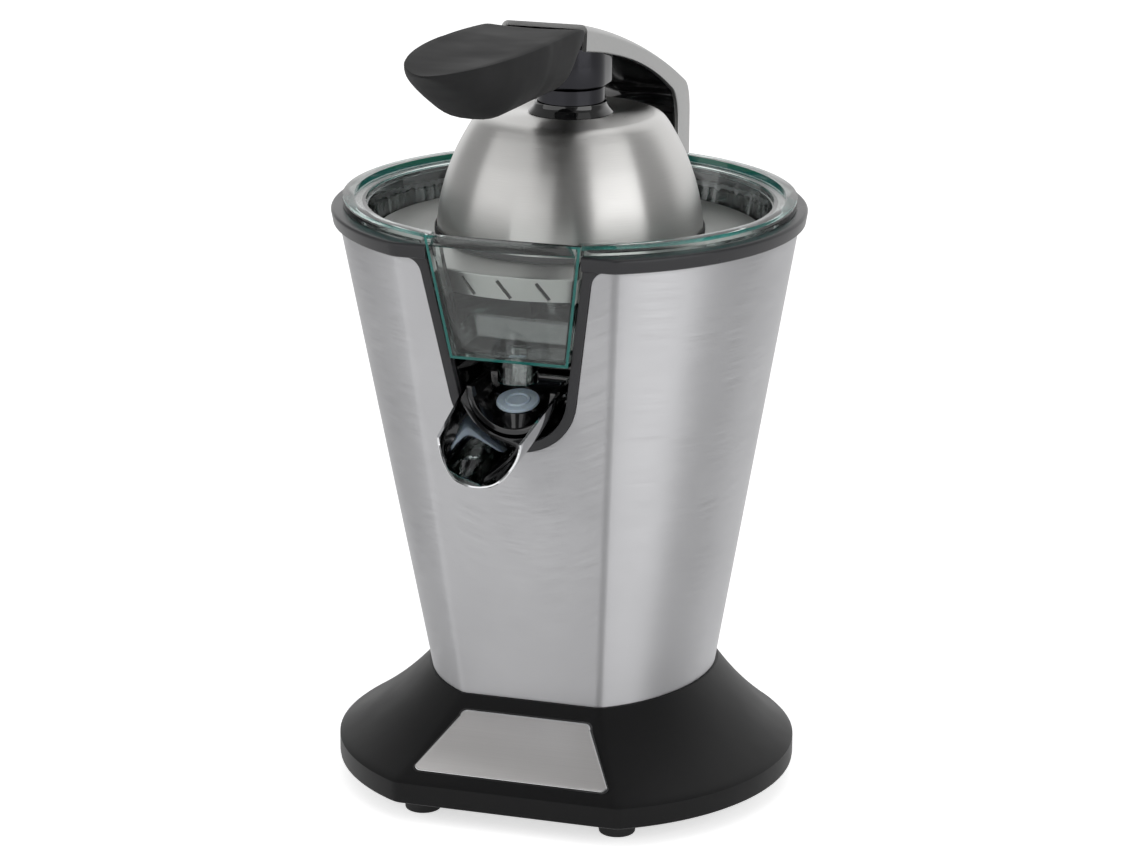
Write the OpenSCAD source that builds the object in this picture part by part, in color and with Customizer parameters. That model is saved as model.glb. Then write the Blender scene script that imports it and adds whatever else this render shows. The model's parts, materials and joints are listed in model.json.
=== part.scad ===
// Lever citrus press: flared base, oblique sheet-metal body with a flat front, clear juice bowl,
// strainer and reamer on a geared drive, and a press dome carried by a hinged arm with a long grip.
// Millimetres. +Z up, -Y to the spout side; the juicing axis stands at y = axis_y.

/* [Body] */
// Height of the body sheet's lower edge above the table
body_bottom = 50; // [46:1:54]
// Height of the body sheet's upper edge
body_top = 256; // [252:1:260]
// Half width of the body at its lower edge
low_a = 63.4; // [60:0.1:66]
// Half width of the flat front at the lower edge
low_facet = 31.15; // [29:0.05:33]
// How far the lower section stands behind the juicing axis
low_back = 13; // [10:0.5:16]
// Distance of the flat front from the axis at the lower edge
low_front = 52.5; // [50:0.5:55]
// Half width of the body at its upper edge
top_a = 100.3; // [98:0.1:102]
// Half width of the flat front at the upper edge
top_facet = 47.9; // [45:0.1:51]
// Distance of the flat front from the axis at the upper edge
top_front = 90.5; // [88:0.5:92]
// Thickness of the body sheet
sheet = 0.9; // [0.6:0.1:1.4]

/* [Base] */
// Radius of the base skirt
base_r = 102.4; // [98:0.2:106]
// Distance of the skirt's flat front from the axis
base_front = 89; // [86:0.5:92]
// Height of the skirt's lower edge
skirt_low = 9; // [8:0.5:11]
// Height of the skirt's upper edge
skirt_high = 19; // [17:0.5:21]
// Wall of the base shell
base_wall = 2.6; // [2:0.1:3.2]
// Radius of a rubber foot
foot_r = 8; // [6:0.5:10]
// Sideways place of the feet
foot_x = 44.7; // [40:0.1:50]
// Fore and aft place of the feet
foot_y = 68.2; // [62:0.1:70]

/* [Cut-out and spout] */
// Half width of the front cut-out at its rounded foot
cut_r = 28.6; // [27:0.1:30]
// How far the centre of that rounding lies below the body's upper edge
cut_drop = 57.5; // [55:0.5:60]
// Half width of the cut-out at the body's upper edge
cut_top = 38.5; // [37.5:0.1:40]
// Width of the trim around the cut-out
trim_w = 4.4; // [3.6:0.1:4.6]
// Outer radius of the spout trough
spout_r = 21; // [19:0.2:21.6]
// Length of the spout trough
spout_len = 55; // [46:1:60]
// Slope of the spout trough in degrees
spout_slope = 13.5; // [10:0.5:22]
// How much narrower the spout trough is at its tip
spout_taper = 3; // [0:0.5:5]
// Radius of the silicone valve plug
plug_r = 9.3; // [8:0.1:10]

/* [Bowl and strainer] */
// How far the bowl's lip stays inside the body's upper edge
rim_inset = 1.3; // [0.5:0.1:3]
// Gap between the trim and the bowl's lip
lip_gap = 0.4; // [0.2:0.1:0.8]
// Thickness of the lip
rim_t = 4.2; // [3:0.1:5]
// Wall of the clear bowl
bowl_wall = 2.2; // [1.6:0.1:2.6]
// Gap between the pouring chute and the trim at the chute's floor
chute_gap = 0.65; // [0.4:0.05:1]
// Height of the chute's floor above the centre of the cut-out's rounding
chute_rise = 13.3; // [11:0.1:15]
// Outer radius of the chute's nozzle
nozzle_r = 8.8; // [7:0.1:9.5]
// Distance of the nozzle from the juicing axis
nozzle_y = 72; // [70:0.5:74]
// Gap between the strainer's edge and the bowl's wall
strainer_gap = 3; // [1.5:0.5:4]
// How far the strainer's upper face lies below the body's upper edge
strainer_drop = 6; // [5.5:0.5:8]
// Number of slots in the strainer's skirt
skirt_slots = 30; // [12:1:36]
// Number of slots in the strainer's disc
disc_slots = 20; // [8:1:24]

/* [Press dome and reamer] */
// Radius of the press dome at its lower edge
dome_r = 58.2; // [56:0.2:60]
// Height of the dome from its lower edge to its flat top
dome_h = 51.4; // [49:0.2:54]
// Thickness of the dome's sheet
dome_t = 1.2; // [0.8:0.1:1.6]
// Wall of the dome's liner
liner_t = 1.8; // [1.2:0.1:2.4]
// Radius of the reamer's foot
reamer_r = 36; // [32:0.5:38]
// Gap between the reamer's tip and the dome's liner
reamer_gap = 9; // [6:0.5:14]
// Number of ribs on the reamer
reamer_ribs = 10; // [6:1:14]

/* [Arm and grip] */
// Half width of the arm
arm_x = 19; // [17:0.5:20]
// Wall of the arm shell
arm_wall = 2; // [1.6:0.1:2.4]
// Gap between the arm's knuckle and the trim
hinge_gap = 1.1; // [0.8:0.1:3]
// How far the hinge pin lies below the body's upper edge
hinge_drop = 6; // [6:0.5:10]
// Radius of the hinge pin
hinge_pin_r = 4; // [3:0.1:4.5]
// Radius of the arm's knuckle around the pin
knuckle_r = 11; // [9:0.2:11]
// Distance of the grip's tip in front of the juicing axis
grip_tip = 191; // [180:1:205]
// Half width of the grip
grip_x = 24; // [22:0.5:29]
// Distance of the grip's rear edge in front of the juicing axis
grip_rear = 36; // [33:0.5:39]

/* [Drive] */
// Teeth of the motor pinion and of the idler's small gear
pinion_teeth = 12; // [12:1:12]
// Teeth of the idler's large gear
idler_teeth = 50; // [48:2:50]
// Teeth of the output gear
output_teeth = 60; // [60:1:60]
// Module of the gears
gear_m = 1; // [1:0.05:1.02]
// Direction of the idler from the juicing axis in degrees
idler_dir = 30; // [27:1:33]
// Direction of the motor from the idler in degrees
motor_dir = 130; // [126:1:134]
// Radius of the motor can
motor_r = 31; // [28:0.5:31.5]
// Height of the motor can
motor_h = 56; // [54:1:60]
// Radius of the drive shaft
shaft_r = 5; // [4:0.1:5.5]
// Width across the flats of the drive shaft's hexagon
hex_af = 8; // [7:0.1:8.4]
// Travel of the drive shaft when the fruit is pressed
press_travel = 2.5; // [1.5:0.1:2.5]

/* [Fits] */
// Radial clearance of a turning or sliding fit
run_fit = 0.06; // [0.04:0.01:0.09]
// Gap between loosely seated parts
seat_gap = 0.3; // [0.2:0.05:0.4]
// Gap between the clear bowl and the housing
bowl_gap = 0.8; // [0.5:0.1:1]

/* [Hidden] */
$fn = 64;
eps = 0.5;                                       // overlap of a cut past the face it opens
trim_h = 6.4;                                    // ring on the body's upper edge: height, reach out and in
trim_out = 2.6;
trim_in = 5.5;
trim_top = body_top + trim_h;
hinge_y = top_a + trim_out + hinge_gap + knuckle_r;
hinge_z = body_top - hinge_drop;
axis_y = (grip_tip - hinge_y - knuckle_r) / 2;   // puts the origin under the middle of the whole press
cut_z = body_top - cut_drop;
ahead = top_front + 40;                          // cuts that start here start clear of the front

// ---- sections of the body and the base ----------------------------------------------------------
outline_n = 54;
function mix(a, b, t) = a + (b - a) * t;
low_b = (low_front + low_back) / sqrt(1 - pow(low_facet / low_a, 2));
top_b = top_front / sqrt(1 - pow(top_facet / top_a, 2));
// A section: half width, front half length, set-back, distance of the flat front
low_section = [low_a, low_b, low_back, low_front];
top_section = [top_a, top_b, 0, top_front];
skirt_section = [base_r, base_r, 0, base_front];
function body_section(z) = mix(low_section, top_section, (z - body_bottom) / (body_top - body_bottom));
function body_rear(z) = body_section(z)[0] + body_section(z)[2];
// Points of a section at height z, all moved inwards by d
function ring(s, d, z) =
    let (corner = asin((s[3] - d + s[2]) / (s[1] - d)))
    [for (i = [0:outline_n]) let (t = mix(-corner, 180 + corner, i / outline_n))
        [(s[0] - d) * cos(t), s[2] + (sin(t) > 0 ? s[0] - d : s[1] - d) * sin(t), z]];
// Closed solid through a list of rings of equal length
module loft(rings) {
    n = len(rings[0]);
    k = len(rings);
    polyhedron(
        points = [for (r = rings) for (p = r) p],
        faces = concat(
            [[for (i = [0:n - 1]) i]],
            [for (j = [0:k - 2]) for (i = [0:n - 1]) [j * n + i, (j + 1) * n + i, (j + 1) * n + (i + 1) % n]],
            [for (j = [0:k - 2]) for (i = [0:n - 1]) [j * n + i, (j + 1) * n + (i + 1) % n, j * n + (i + 1) % n]],
            [[for (i = [n - 1:-1:0]) (k - 1) * n + i]]));
}
// Solid that follows the body between two heights, inside its outer face by d
module body_solid(z0, z1, d) { loft([ring(body_section(z0), d, z0), ring(body_section(z1), d, z1)]); }

module on_axis() { translate([0, axis_y, 0]) children(); }

// ---- base ---------------------------------------------------------------------------------------
flare_steps = 6;
deck_z = body_bottom;                  // the body sheet stands on the deck
deck_t = 3;
deck_rim = 1.4;                        // how far the deck reaches past the sheet
collar_h = 8;                          // upstand inside the sheet
collar_t = 2.4;
function flare_drop(t) = 0.72 * t + 0.28 * (1 - pow(1 - t, 2.6));
function flare_ring(t, d) =
    ring(mix(low_section + [deck_rim, deck_rim, 0, deck_rim], skirt_section, t), d,
        mix(deck_z, skirt_high, flare_drop(t)));
module flare(d, low) {
    loft(concat([ring(skirt_section, d, low)],
        [for (i = [flare_steps:-1:0]) flare_ring(i / flare_steps, d)]));
}
gland_z = 22;
gland_r = 7;
gland_y0 = 84;                         // inner end of the gland boss
gland_len = base_r + 0.6 - gland_y0;
cable_r = 3.6;
column_r = 5;
column_at = [[-28, -12], [20, -24], [50, 12]];
screw_r = 1.5;
badge_t = 0.9;

module base_shell() {
    color([0.11, 0.11, 0.12]) on_axis() difference() {
        union() {
            difference() {
                flare(0, skirt_low);
                translate([0, 0, -deck_t]) flare(base_wall, skirt_low - eps);
            }
            difference() {             // upstand that centres the sheet
                body_solid(deck_z - eps, deck_z + collar_h, sheet + seat_gap);
                body_solid(deck_z - 2 * eps, deck_z + collar_h + eps, sheet + seat_gap + collar_t);
            }
            intersection() {           // bosses for the screws of the base plate
                for (p = base_screw_at) translate([p[0], p[1], skirt_low + plate_t + seat_gap]) cylinder(r = 5, h = 60);
                flare(0.1, skirt_low);
            }
            intersection() {           // boss that holds the cord gland
                translate([0, gland_y0, gland_z]) rotate([-90, 0, 0]) cylinder(r = gland_r + 3, h = gland_len - 1.2);
                flare(0.05, skirt_low);
            }
        }
        translate([0, gland_y0 - eps, gland_z]) rotate([-90, 0, 0]) cylinder(r = gland_r + run_fit, h = 30);
        for (p = column_at) translate([p[0], p[1], deck_z - deck_t - eps])
            cylinder(r = screw_r + 0.1, h = deck_t + 2 * eps);
        translate([0, low_back, deck_z - deck_t - eps]) cylinder(r = 30, h = deck_t + 2 * eps);
        for (p = base_screw_at) translate([p[0], p[1], skirt_low]) cylinder(r = screw_r + 0.03, h = 15);
        badge_body(badge_t);           // recess for the badge
    }
}
// The badge lies on the flat front of the flare, between two of its rings
badge_low = 0.835;                     // places along the flare's profile
badge_high = 0.122;
badge_share_low = 0.94;                // share of the facet's half width it covers at its two ends
badge_share_high = 0.9;
badge_round = 3.2;
function facet_x(t) = let (r = flare_ring(t, 0)) r[0][0];
function facet_y(t) = let (r = flare_ring(t, 0)) r[0][1];
function facet_z(t) = let (r = flare_ring(t, 0)) r[0][2];
badge_tilt = atan2(facet_z(badge_high) - facet_z(badge_low), facet_y(badge_high) - facet_y(badge_low));
badge_run = norm([facet_z(badge_high) - facet_z(badge_low), facet_y(badge_high) - facet_y(badge_low)]);
module badge_outline() {
    hull() for (s = [-1, 1]) {
        translate([s * (facet_x(badge_low) * badge_share_low - badge_round), badge_round]) circle(r = badge_round);
        translate([s * (facet_x(badge_high) * badge_share_high - badge_round), badge_run - badge_round]) circle(r = badge_round);
    }
}
module badge_body(sink) {
    translate([0, facet_y(badge_low), facet_z(badge_low)]) rotate([badge_tilt, 0, 0])
        translate([0, 0, -sink]) linear_extrude(6) badge_outline();
}
module badge_plate() {
    color([0.78, 0.77, 0.76]) on_axis()
        translate([0, facet_y(badge_low), facet_z(badge_low)]) rotate([badge_tilt, 0, 0])
            translate([0, 0, -badge_t]) linear_extrude(1.3) offset(delta = -0.15) badge_outline();
}
plate_t = 2.4;
foot_h = skirt_low;
foot_stud_r = 3;
foot_at = [for (sx = [-1, 1]) for (sy = [-1, 1]) [sx * foot_x, sy * foot_y]];
base_screw_at = [[-84, 0], [84, 0], [0, 74], [0, -66]];
module base_plate() {
    color([0.13, 0.13, 0.14]) on_axis() difference() {
        union() {
            loft([ring(skirt_section, base_wall + seat_gap, skirt_low),
                ring(skirt_section, base_wall + seat_gap, skirt_low + plate_t)]);
        }
        for (p = foot_at) translate([p[0], p[1], skirt_low - eps]) cylinder(r = foot_stud_r + run_fit, h = 6);
        for (p = base_screw_at) translate([p[0], p[1], skirt_low - eps]) cylinder(r = screw_r + 0.1, h = 6);
        for (a = [-50:12.5:50]) rotate(a) translate([-1.5, 25, skirt_low - eps]) cube([3, 22, 4]);
    }
}
module rubber_feet() {
    color([0.08, 0.08, 0.08]) on_axis() for (p = foot_at) translate([p[0], p[1], 0]) {
        rotate_extrude() polygon([[0, 0], [foot_r - 1.5, 0], [foot_r, 1.5], [foot_r, foot_h], [foot_stud_r, foot_h],
            [foot_stud_r, foot_h + plate_t + 0.4], [foot_stud_r + 1, foot_h + plate_t + 0.6],
            [foot_stud_r - 0.8, foot_h + plate_t + 3], [0, foot_h + plate_t + 3]]);
    }
}
module base_screws() {
    color([0.6, 0.6, 0.62]) on_axis() {
        for (p = column_at) translate([p[0], p[1], deck_z - deck_t]) screw(screw_r, 20, 3);
        for (p = base_screw_at) translate([p[0], p[1], skirt_low]) screw(screw_r, 14, 2.8);
    }
}
// Pan-head screw with its head below z = 0 and its shank along +Z
module screw(r, len, head) {
    cylinder(r = r, h = len);
    difference() {
        translate([0, 0, -2]) cylinder(r = head, h = 2);
        for (a = [0, 90]) rotate(a) translate([-head * 0.6, -0.35, -2 - eps]) cube([head * 1.2, 0.7, 1 + eps]);
    }
}

// ---- front cut-out ------------------------------------------------------------------------------
cut_flare = 7;                         // rounding of the sheet's upper corners
cut_depth = 40;                        // the cut through the front ends this far ahead of the axis
module cut_shape(d) {
    hull() {
        translate([0, cut_z]) circle(r = cut_r - d);
        translate([-(cut_top - d), body_top]) square([2 * (cut_top - d), 0.01]);
    }
    translate([-(cut_top - d), body_top - 0.01]) square([2 * (cut_top - d), 20]);
}
module corner_flare(d) {
    for (s = [-1, 1]) scale([s, 1]) difference() {
        translate([cut_top - d - 1.2, body_top - cut_flare]) square([cut_flare + 1.2, cut_flare + 20]);
        translate([cut_top - d + cut_flare, body_top - cut_flare]) circle(r = cut_flare);
        translate([cut_top - d + cut_flare, body_top - 2 * cut_flare]) square(2 * cut_flare);
    }
}
module cut_prism(d, y0, y1) { translate([0, y1, 0]) rotate([90, 0, 0]) linear_extrude(y1 - y0) cut_shape(d); }

module body_shell() {
    color([0.74, 0.74, 0.74]) on_axis() difference() {
        body_solid(body_bottom, body_top, 0);
        body_solid(body_bottom - eps, body_top + eps, sheet);
        translate([0, -cut_depth, 0]) rotate([90, 0, 0]) linear_extrude(ahead - cut_depth) { cut_shape(0); corner_flare(0); }
        bracket_screw_holes(screw_r + 0.1, body_rear(bracket_screw_z) - 10);
    }
}

// ---- trim ---------------------------------------------------------------------------------------
module rim_trim() {
    color([0.2, 0.2, 0.21]) on_axis() {
        difference() {
            union() {
                difference() {         // ring on the sheet's upper edge
                    body_solid(body_top, trim_top, -trim_out);
                    body_solid(body_top - eps, trim_top + eps, trim_in);
                    cut_prism(trim_w, -ahead, -cut_depth);
                }
                intersection() {       // frame that lines the cut-out
                    difference() {
                        body_solid(cut_z - cut_r - 4, trim_top, -0.9);
                        body_solid(cut_z - cut_r - 5, trim_top + eps, 3.2);
                    }
                    difference() {
                        translate([0, -cut_depth, 0]) rotate([90, 0, 0]) linear_extrude(ahead - cut_depth) {
                            cut_shape(0.2);
                            corner_flare(0.2);
                        }
                        cut_prism(trim_w, -ahead - 10, 10 - cut_depth);
                    }
                }
            }
        }
    }
}

// ---- inner housing ------------------------------------------------------------------------------
tub_wall = 2.4;
tub_top = body_top - 2;
tub_floor = body_top - 50;
tub_room = 8.1;                        // from the body's outer face to the inside of the tub at the top
tub_taper = 8.2;
tub_r_top = top_a - tub_room;          // inner radii of the tub
tub_r_low = tub_r_top - tub_taper;
recess_back = 47;                      // how near the spout recess comes to the axis
collar_r = 11;
collar_top = body_top - 18;
seal_h = 4;
bush_h = 12;
bush_r = 7.6;
cover_top = tub_floor - 27;
function tub_r(z) = mix(tub_r_low, tub_r_top, (z - tub_floor) / (tub_top - tub_floor));
mount_at = [[-26, -10], [4, -27], [-17, 22]];
module inner_housing() {
    color([0.07, 0.07, 0.075]) on_axis() difference() {
        union() {
            intersection() {
                body_solid(tub_floor - tub_wall, tub_top, sheet + seat_gap);
                rotate_extrude($fn = 96) polygon([[0, tub_floor - tub_wall], [tub_r_low + tub_wall, tub_floor - tub_wall],
                    [tub_r_top + tub_wall, tub_top], [0, tub_top]]);
            }
            intersection() {
                cut_prism(trim_w - tub_wall + 0.3, -ahead, -recess_back);
                body_solid(cut_z - cut_r - 6, tub_top, 3.6);
            }
            for (p = mount_at) translate([p[0], p[1], cover_top]) cylinder(r = 4.5, h = tub_floor - cover_top);
            intersection() {           // bosses for the bracket's screws
                bracket_screw_holes(4.5, tub_r(bracket_screw_z));
                body_solid(tub_floor, tub_top, sheet + seat_gap);
            }
        }
        difference() {                 // room for the bowl
            intersection() {
                rotate_extrude($fn = 96) polygon([[collar_r, tub_floor], [tub_r_low, tub_floor], [tub_r_top, tub_top],
                    [tub_r_top, tub_top + 9], [0, tub_top + 9], [0, collar_top], [collar_r, collar_top]]);
                body_solid(tub_floor - eps, tub_top + 9, sheet + seat_gap + tub_wall);
            }
        }
        cut_prism(trim_w + 0.3, -ahead, -recess_back - tub_wall);
        difference() {                 // room for the trim's frame
            cut_prism(-seat_gap, -ahead, -cut_depth);
            body_solid(cut_z - cut_r - 10, tub_top + 9, 3.5);
        }
        bracket_screw_holes(screw_r + 0.03, tub_r(bracket_screw_z) + 1.2);
        translate([0, 0, tub_floor - tub_wall - eps]) cylinder(r = shaft_r + 0.8, h = 50);
        translate([0, 0, collar_top - seal_h - bush_h]) cylinder(r = bush_r + run_fit / 2, h = 30);
        for (p = mount_at) translate([p[0], p[1], cover_top - eps]) cylinder(r = screw_r - 0.2, h = 14);
        for (s = [-1, 1]) translate([s * (cut_r - trim_w + 3), -spout_pivot_y, spout_pivot_z])
            rotate([0, 90, 0]) cylinder(r = spout_pin_r + run_fit, h = 16, center = true);
    }
}
module support_columns() {
    color([0.35, 0.35, 0.36]) on_axis() for (p = column_at) translate([p[0], p[1], deck_z]) difference() {
        cylinder(r = column_r, h = box_low - deck_z);
        translate([0, 0, -eps]) cylinder(r = screw_r + 0.03, h = 22);
    }
}
module shaft_bush() {
    color([0.72, 0.6, 0.4]) on_axis() translate([0, 0, collar_top - seal_h - bush_h])
        tube(bush_r, shaft_r + run_fit, bush_h);
}
module shaft_seal() {
    color([0.15, 0.15, 0.16]) on_axis() translate([0, 0, collar_top - seal_h])
        tube(bush_r, shaft_r + 0.1, seal_h);
}
module tube(ro, ri, h) { difference() { cylinder(r = ro, h = h); translate([0, 0, -eps]) cylinder(r = ri, h = h + 2 * eps); } }

// ---- bowl, strainer, reamer ---------------------------------------------------------------------
bowl_floor = body_top - 34;            // floor near the wall; it falls to the chute
hub_r = collar_r + 3.2;
hub_top = body_top - 13;
rim_r = top_a - rim_inset;
lip_low = trim_top + lip_gap;
rim_top = lip_low + rim_t;
lip_floor = 1.6;                       // thickness of the lip inside its raised edge
chute_z = cut_z + chute_rise;
chute_low = opening_half(chute_z) - chute_gap;
chute_top = cut_top - trim_w + 0.2;    // above the trim, so that it may reach past the opening
chute_proud = 2.4;                     // how far the chute stands out from the body's front
chute_front_top = body_section(rim_top)[3] + chute_proud;
chute_front_low = body_section(chute_z)[3] + chute_proud;
chute_back = nozzle_y - 14;
// Half width of the opening in the trim at height z, on the straight line beside its round foot
function opening_half(z) = let (corner = [cut_top - trim_w, cut_drop], r = cut_r - trim_w,
    lean = atan2(corner[1], corner[0]) - acos(r / norm(corner))) (r - (z - cut_z) * sin(lean)) / cos(lean);
function bowl_r(z) = tub_r(z) - bowl_gap;
module chute_block(d) {
    hull() {
        translate([-(chute_top - d), -(chute_front_top - d), rim_top - 0.1])
            cube([2 * (chute_top - d), chute_front_top - chute_back - 2 * d, 0.1 + d]);
        translate([-(chute_low - d), -(chute_front_low - d), chute_z + d])
            cube([2 * (chute_low - d), chute_front_low - chute_back - 2 * d, 0.1]);
    }
}
module bowl_body(d) {                  // outer form of the bowl's pan, moved inwards by d
    intersection() {
        rotate_extrude($fn = 96) polygon([[0, bowl_floor + 4 + d], [30, bowl_floor + 2 + d],
            [bowl_r(bowl_floor) - d - 4, bowl_floor + d], [bowl_r(bowl_floor) - d, bowl_floor + 4 + d],
            [bowl_r(tub_top) - d, rim_top + d], [0, rim_top + d]]);
        body_solid(bowl_floor - 1, rim_top + 1, trim_in + bowl_gap + d);
    }
}
module juice_bowl() {
    color([0.82, 0.93, 0.92, 0.4]) on_axis() difference() {
        union() {
            bowl_body(0);
            chute_block(0);
            translate([0, 0, lip_low]) cylinder(r = rim_r, h = rim_t, $fn = 96);
            translate([0, 0, bowl_floor]) cylinder(r = hub_r, h = hub_top - bowl_floor);
            translate([0, -nozzle_y, chute_z - 10.8]) cylinder(r = nozzle_r, h = 11.5);
        }
        difference() {
            union() {
                bowl_body(bowl_wall);
                chute_block(bowl_wall);
                intersection() {       // mouth of the pan
                    translate([0, 0, lip_low - 1]) cylinder(r = tub_r_top - 3.2, h = 20, $fn = 96);
                    body_solid(lip_low - 2, rim_top + 6, bowl_skin);
                }
                intersection() {       // step inside the lip
                    translate([0, 0, lip_low + lip_floor]) cylinder(r = rim_r - 5, h = 10, $fn = 96);
                    body_solid(lip_low, rim_top + 6, 3);
                }
            }
            translate([0, 0, bowl_floor - 5]) cylinder(r = hub_r, h = hub_top - bowl_floor + 5);
        }
        translate([0, 0, bowl_floor - 10]) cylinder(r = collar_r + 1, h = 60);
        translate([0, -nozzle_y, chute_z - 12]) cylinder(r = nozzle_r - 2.4, h = 20);
    }
}
strainer_z = body_top - strainer_drop;
strainer_t = 1;
// The bowl's inner faces at the strainer: round wall, front corners beside the chute, round front
bowl_skin = trim_in + bowl_gap + bowl_wall;
chute_half = mix(chute_low, chute_top, (strainer_z - chute_z) / (rim_top - chute_z)) - bowl_wall;
strainer_r = min(bowl_r(strainer_z) - bowl_wall - strainer_gap,
    norm([chute_half, body_section(strainer_z)[3] - bowl_skin]) - 0.6, body_section(strainer_z)[1] - bowl_skin - 0.6);
skirt_r = strainer_r - 1.6;
skirt_h = 12;
slot_ring = strainer_r - 41.5;         // radius of the ring of slots in the disc
module strainer() {
    color([0.7, 0.7, 0.7]) on_axis() difference() {
        rotate_extrude($fn = 96) polygon([[hub_r + seat_gap, hub_top], [hub_r + seat_gap + 2, hub_top],
            [hub_r + seat_gap + 2.4, strainer_z - strainer_t], [skirt_r - strainer_t, strainer_z - strainer_t],
            [skirt_r - strainer_t - 1, strainer_z - skirt_h], [skirt_r - 1, strainer_z - skirt_h],
            [skirt_r, strainer_z - strainer_t], [strainer_r, strainer_z - strainer_t], [strainer_r, strainer_z],
            [hub_r + seat_gap, strainer_z]]);
        for (i = [0:skirt_slots - 1]) rotate(i * 360 / skirt_slots) translate([0, -skirt_r, strainer_z - 6.4])
            rotate([0, -38, 0]) cube([1.7, 12, 8.6], center = true);
        for (i = [0:disc_slots - 1]) rotate(i * 360 / disc_slots) translate([slot_ring, 0, strainer_z])
            rotate(24) cube([14, 1.6, 8], center = true);
    }
}
dome_low = strainer_z + 1.6;
dome_top = dome_low + dome_h;
reamer_z = strainer_z + 3;
reamer_h = dome_top - dome_t - liner_t - reamer_gap - reamer_z;
reamer_rib = 1.6;
module reamer() {
    color([0.75, 0.75, 0.74]) on_axis() difference() {
        union() {
            rotate_extrude() polygon([[0, reamer_z], [reamer_r, reamer_z], [reamer_r, reamer_z + 1.6],
                [reamer_r - 6, reamer_z + 3], [reamer_r * 0.7, reamer_z + reamer_h * 0.35],
                [reamer_r * 0.42, reamer_z + reamer_h * 0.72], [2, reamer_z + reamer_h - 3], [0, reamer_z + reamer_h - 3]]);
            for (i = [0:reamer_ribs - 1]) rotate(i * 360 / reamer_ribs) rotate([90, 0, 0])
                translate([0, 0, -reamer_rib / 2]) linear_extrude(reamer_rib)
                    polygon([[0, reamer_z], [reamer_r - 2, reamer_z + 1], [reamer_r * 0.82, reamer_z + reamer_h * 0.35],
                        [reamer_r * 0.52, reamer_z + reamer_h * 0.75], [1, reamer_z + reamer_h], [0, reamer_z + reamer_h]]);
            translate([0, 0, reamer_z - 10]) cylinder(r = 9.4, h = 10.5);
        }
        translate([0, 0, reamer_z - 10 - eps]) cylinder(r = hex_af / sqrt(3) + 0.2, h = 22, $fn = 6);
    }
}

// ---- press dome and neck ------------------------------------------------------------------------
// Outer profile of the dome: fractions of its radius and height, from the lower edge upwards
dome_profile = [[1, 0], [0.995, 0.1], [0.971, 0.28], [0.93, 0.455], [0.873, 0.63], [0.82, 0.755], [0.758, 0.88]];
dome_corner = 5;
function dome_pts(d) = concat(
    [for (p = dome_profile) [dome_r * p[0] - d, dome_low + (dome_top - dome_low) * p[1]]],
    [for (a = [15:15:90]) [dome_r * 0.758 - 6.2 + (6.2 - d) * cos(a), dome_top - 6.2 + (6.2 - d) * sin(a)]]);
module dome_solid(d, drop) {
    rotate_extrude($fn = 96) polygon(concat([[0, dome_low - drop], [dome_pts(d)[0][0], dome_low - drop]], dome_pts(d), [[0, dome_top - d]]));
}
module press_dome() {
    color([0.76, 0.76, 0.75]) on_axis() difference() {
        dome_solid(0, 0);
        dome_solid(dome_t, 1);
        translate([0, 0, dome_top - 4]) cylinder(r = cap_stem_r + 0.1, h = 8);
    }
}
module dome_liner() {
    color([0.14, 0.14, 0.15]) on_axis() difference() {
        dome_solid(dome_t + 0.15, -1);
        dome_solid(dome_t + 0.15 + liner_t, 1);
        translate([0, 0, dome_top - 6]) cylinder(r = screw_r + 0.6, h = 8);
    }
}
gasket_low = strainer_z + 0.4;
module dome_gasket() {
    color([0.1, 0.1, 0.1]) on_axis() rotate_extrude($fn = 96) polygon([[dome_r - dome_t - liner_t, gasket_low],
        [dome_r + 0.9, gasket_low], [dome_r + 0.9, dome_low + 1.8], [dome_r + 0.12, dome_low + 1.8],
        [dome_r + 0.12, dome_low - 0.1], [dome_r - dome_t - liner_t, dome_low - 0.1]]);
}
cap_stem_r = 8;
sleeve_r = arm_x - arm_wall - 1.4;
cap_r = sleeve_r - 0.8;
flange_r = cap_r + 3.7;
cap_low = dome_top;
cap_step = cap_low + 4.5;
cap_top = cap_low + 12;
module dome_cap() {
    color([0.09, 0.09, 0.1]) on_axis() difference() {
        union() {
            rotate_extrude() polygon([[0, cap_low - 1], [cap_stem_r, cap_low - 1], [cap_stem_r, cap_low], [flange_r, cap_low],
                [flange_r - 1.6, cap_low + 1.6], [cap_r + 1, cap_step], [cap_r + 0.4, cap_step + 1], [cap_r, cap_top], [0, cap_top]]);
            translate([0, 0, cap_top - eps]) cylinder(r = 6, h = 8 + eps);
        }
        translate([0, 0, cap_low - 2]) cylinder(r = screw_r + 0.03, h = 18);
    }
}
module dome_screw() {
    color([0.6, 0.6, 0.62]) on_axis() translate([0, 0, dome_top - dome_t - 0.15 - liner_t]) screw(screw_r, 16, 3.4);
}
sleeve_low = cap_top + 0.4;
sleeve_back = 8;                       // how far the sleeve is drawn out to the rear
sleeve_top = dome_top + 30;
module neck_sleeve() {
    color([0.13, 0.13, 0.14]) on_axis() difference() {
        hull() for (y = [0, sleeve_back]) translate([0, y, sleeve_low]) cylinder(r = sleeve_r, h = sleeve_top - sleeve_low, $fn = 48);
        translate([0, 0, sleeve_low - eps]) cylinder(r = 6.05, h = 8 + eps);
        above_underside(cover_sink - 0.1);
    }
}

// ---- arm ----------------------------------------------------------------------------------------
function bezier(a, b, c, t) = (1 - t) * (1 - t) * a + 2 * t * (1 - t) * b + t * t * c;
function bezier_way(a, b, c, t) = let (v = 2 * (1 - t) * (b - a) + 2 * t * (c - b)) v / norm(v);
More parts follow.
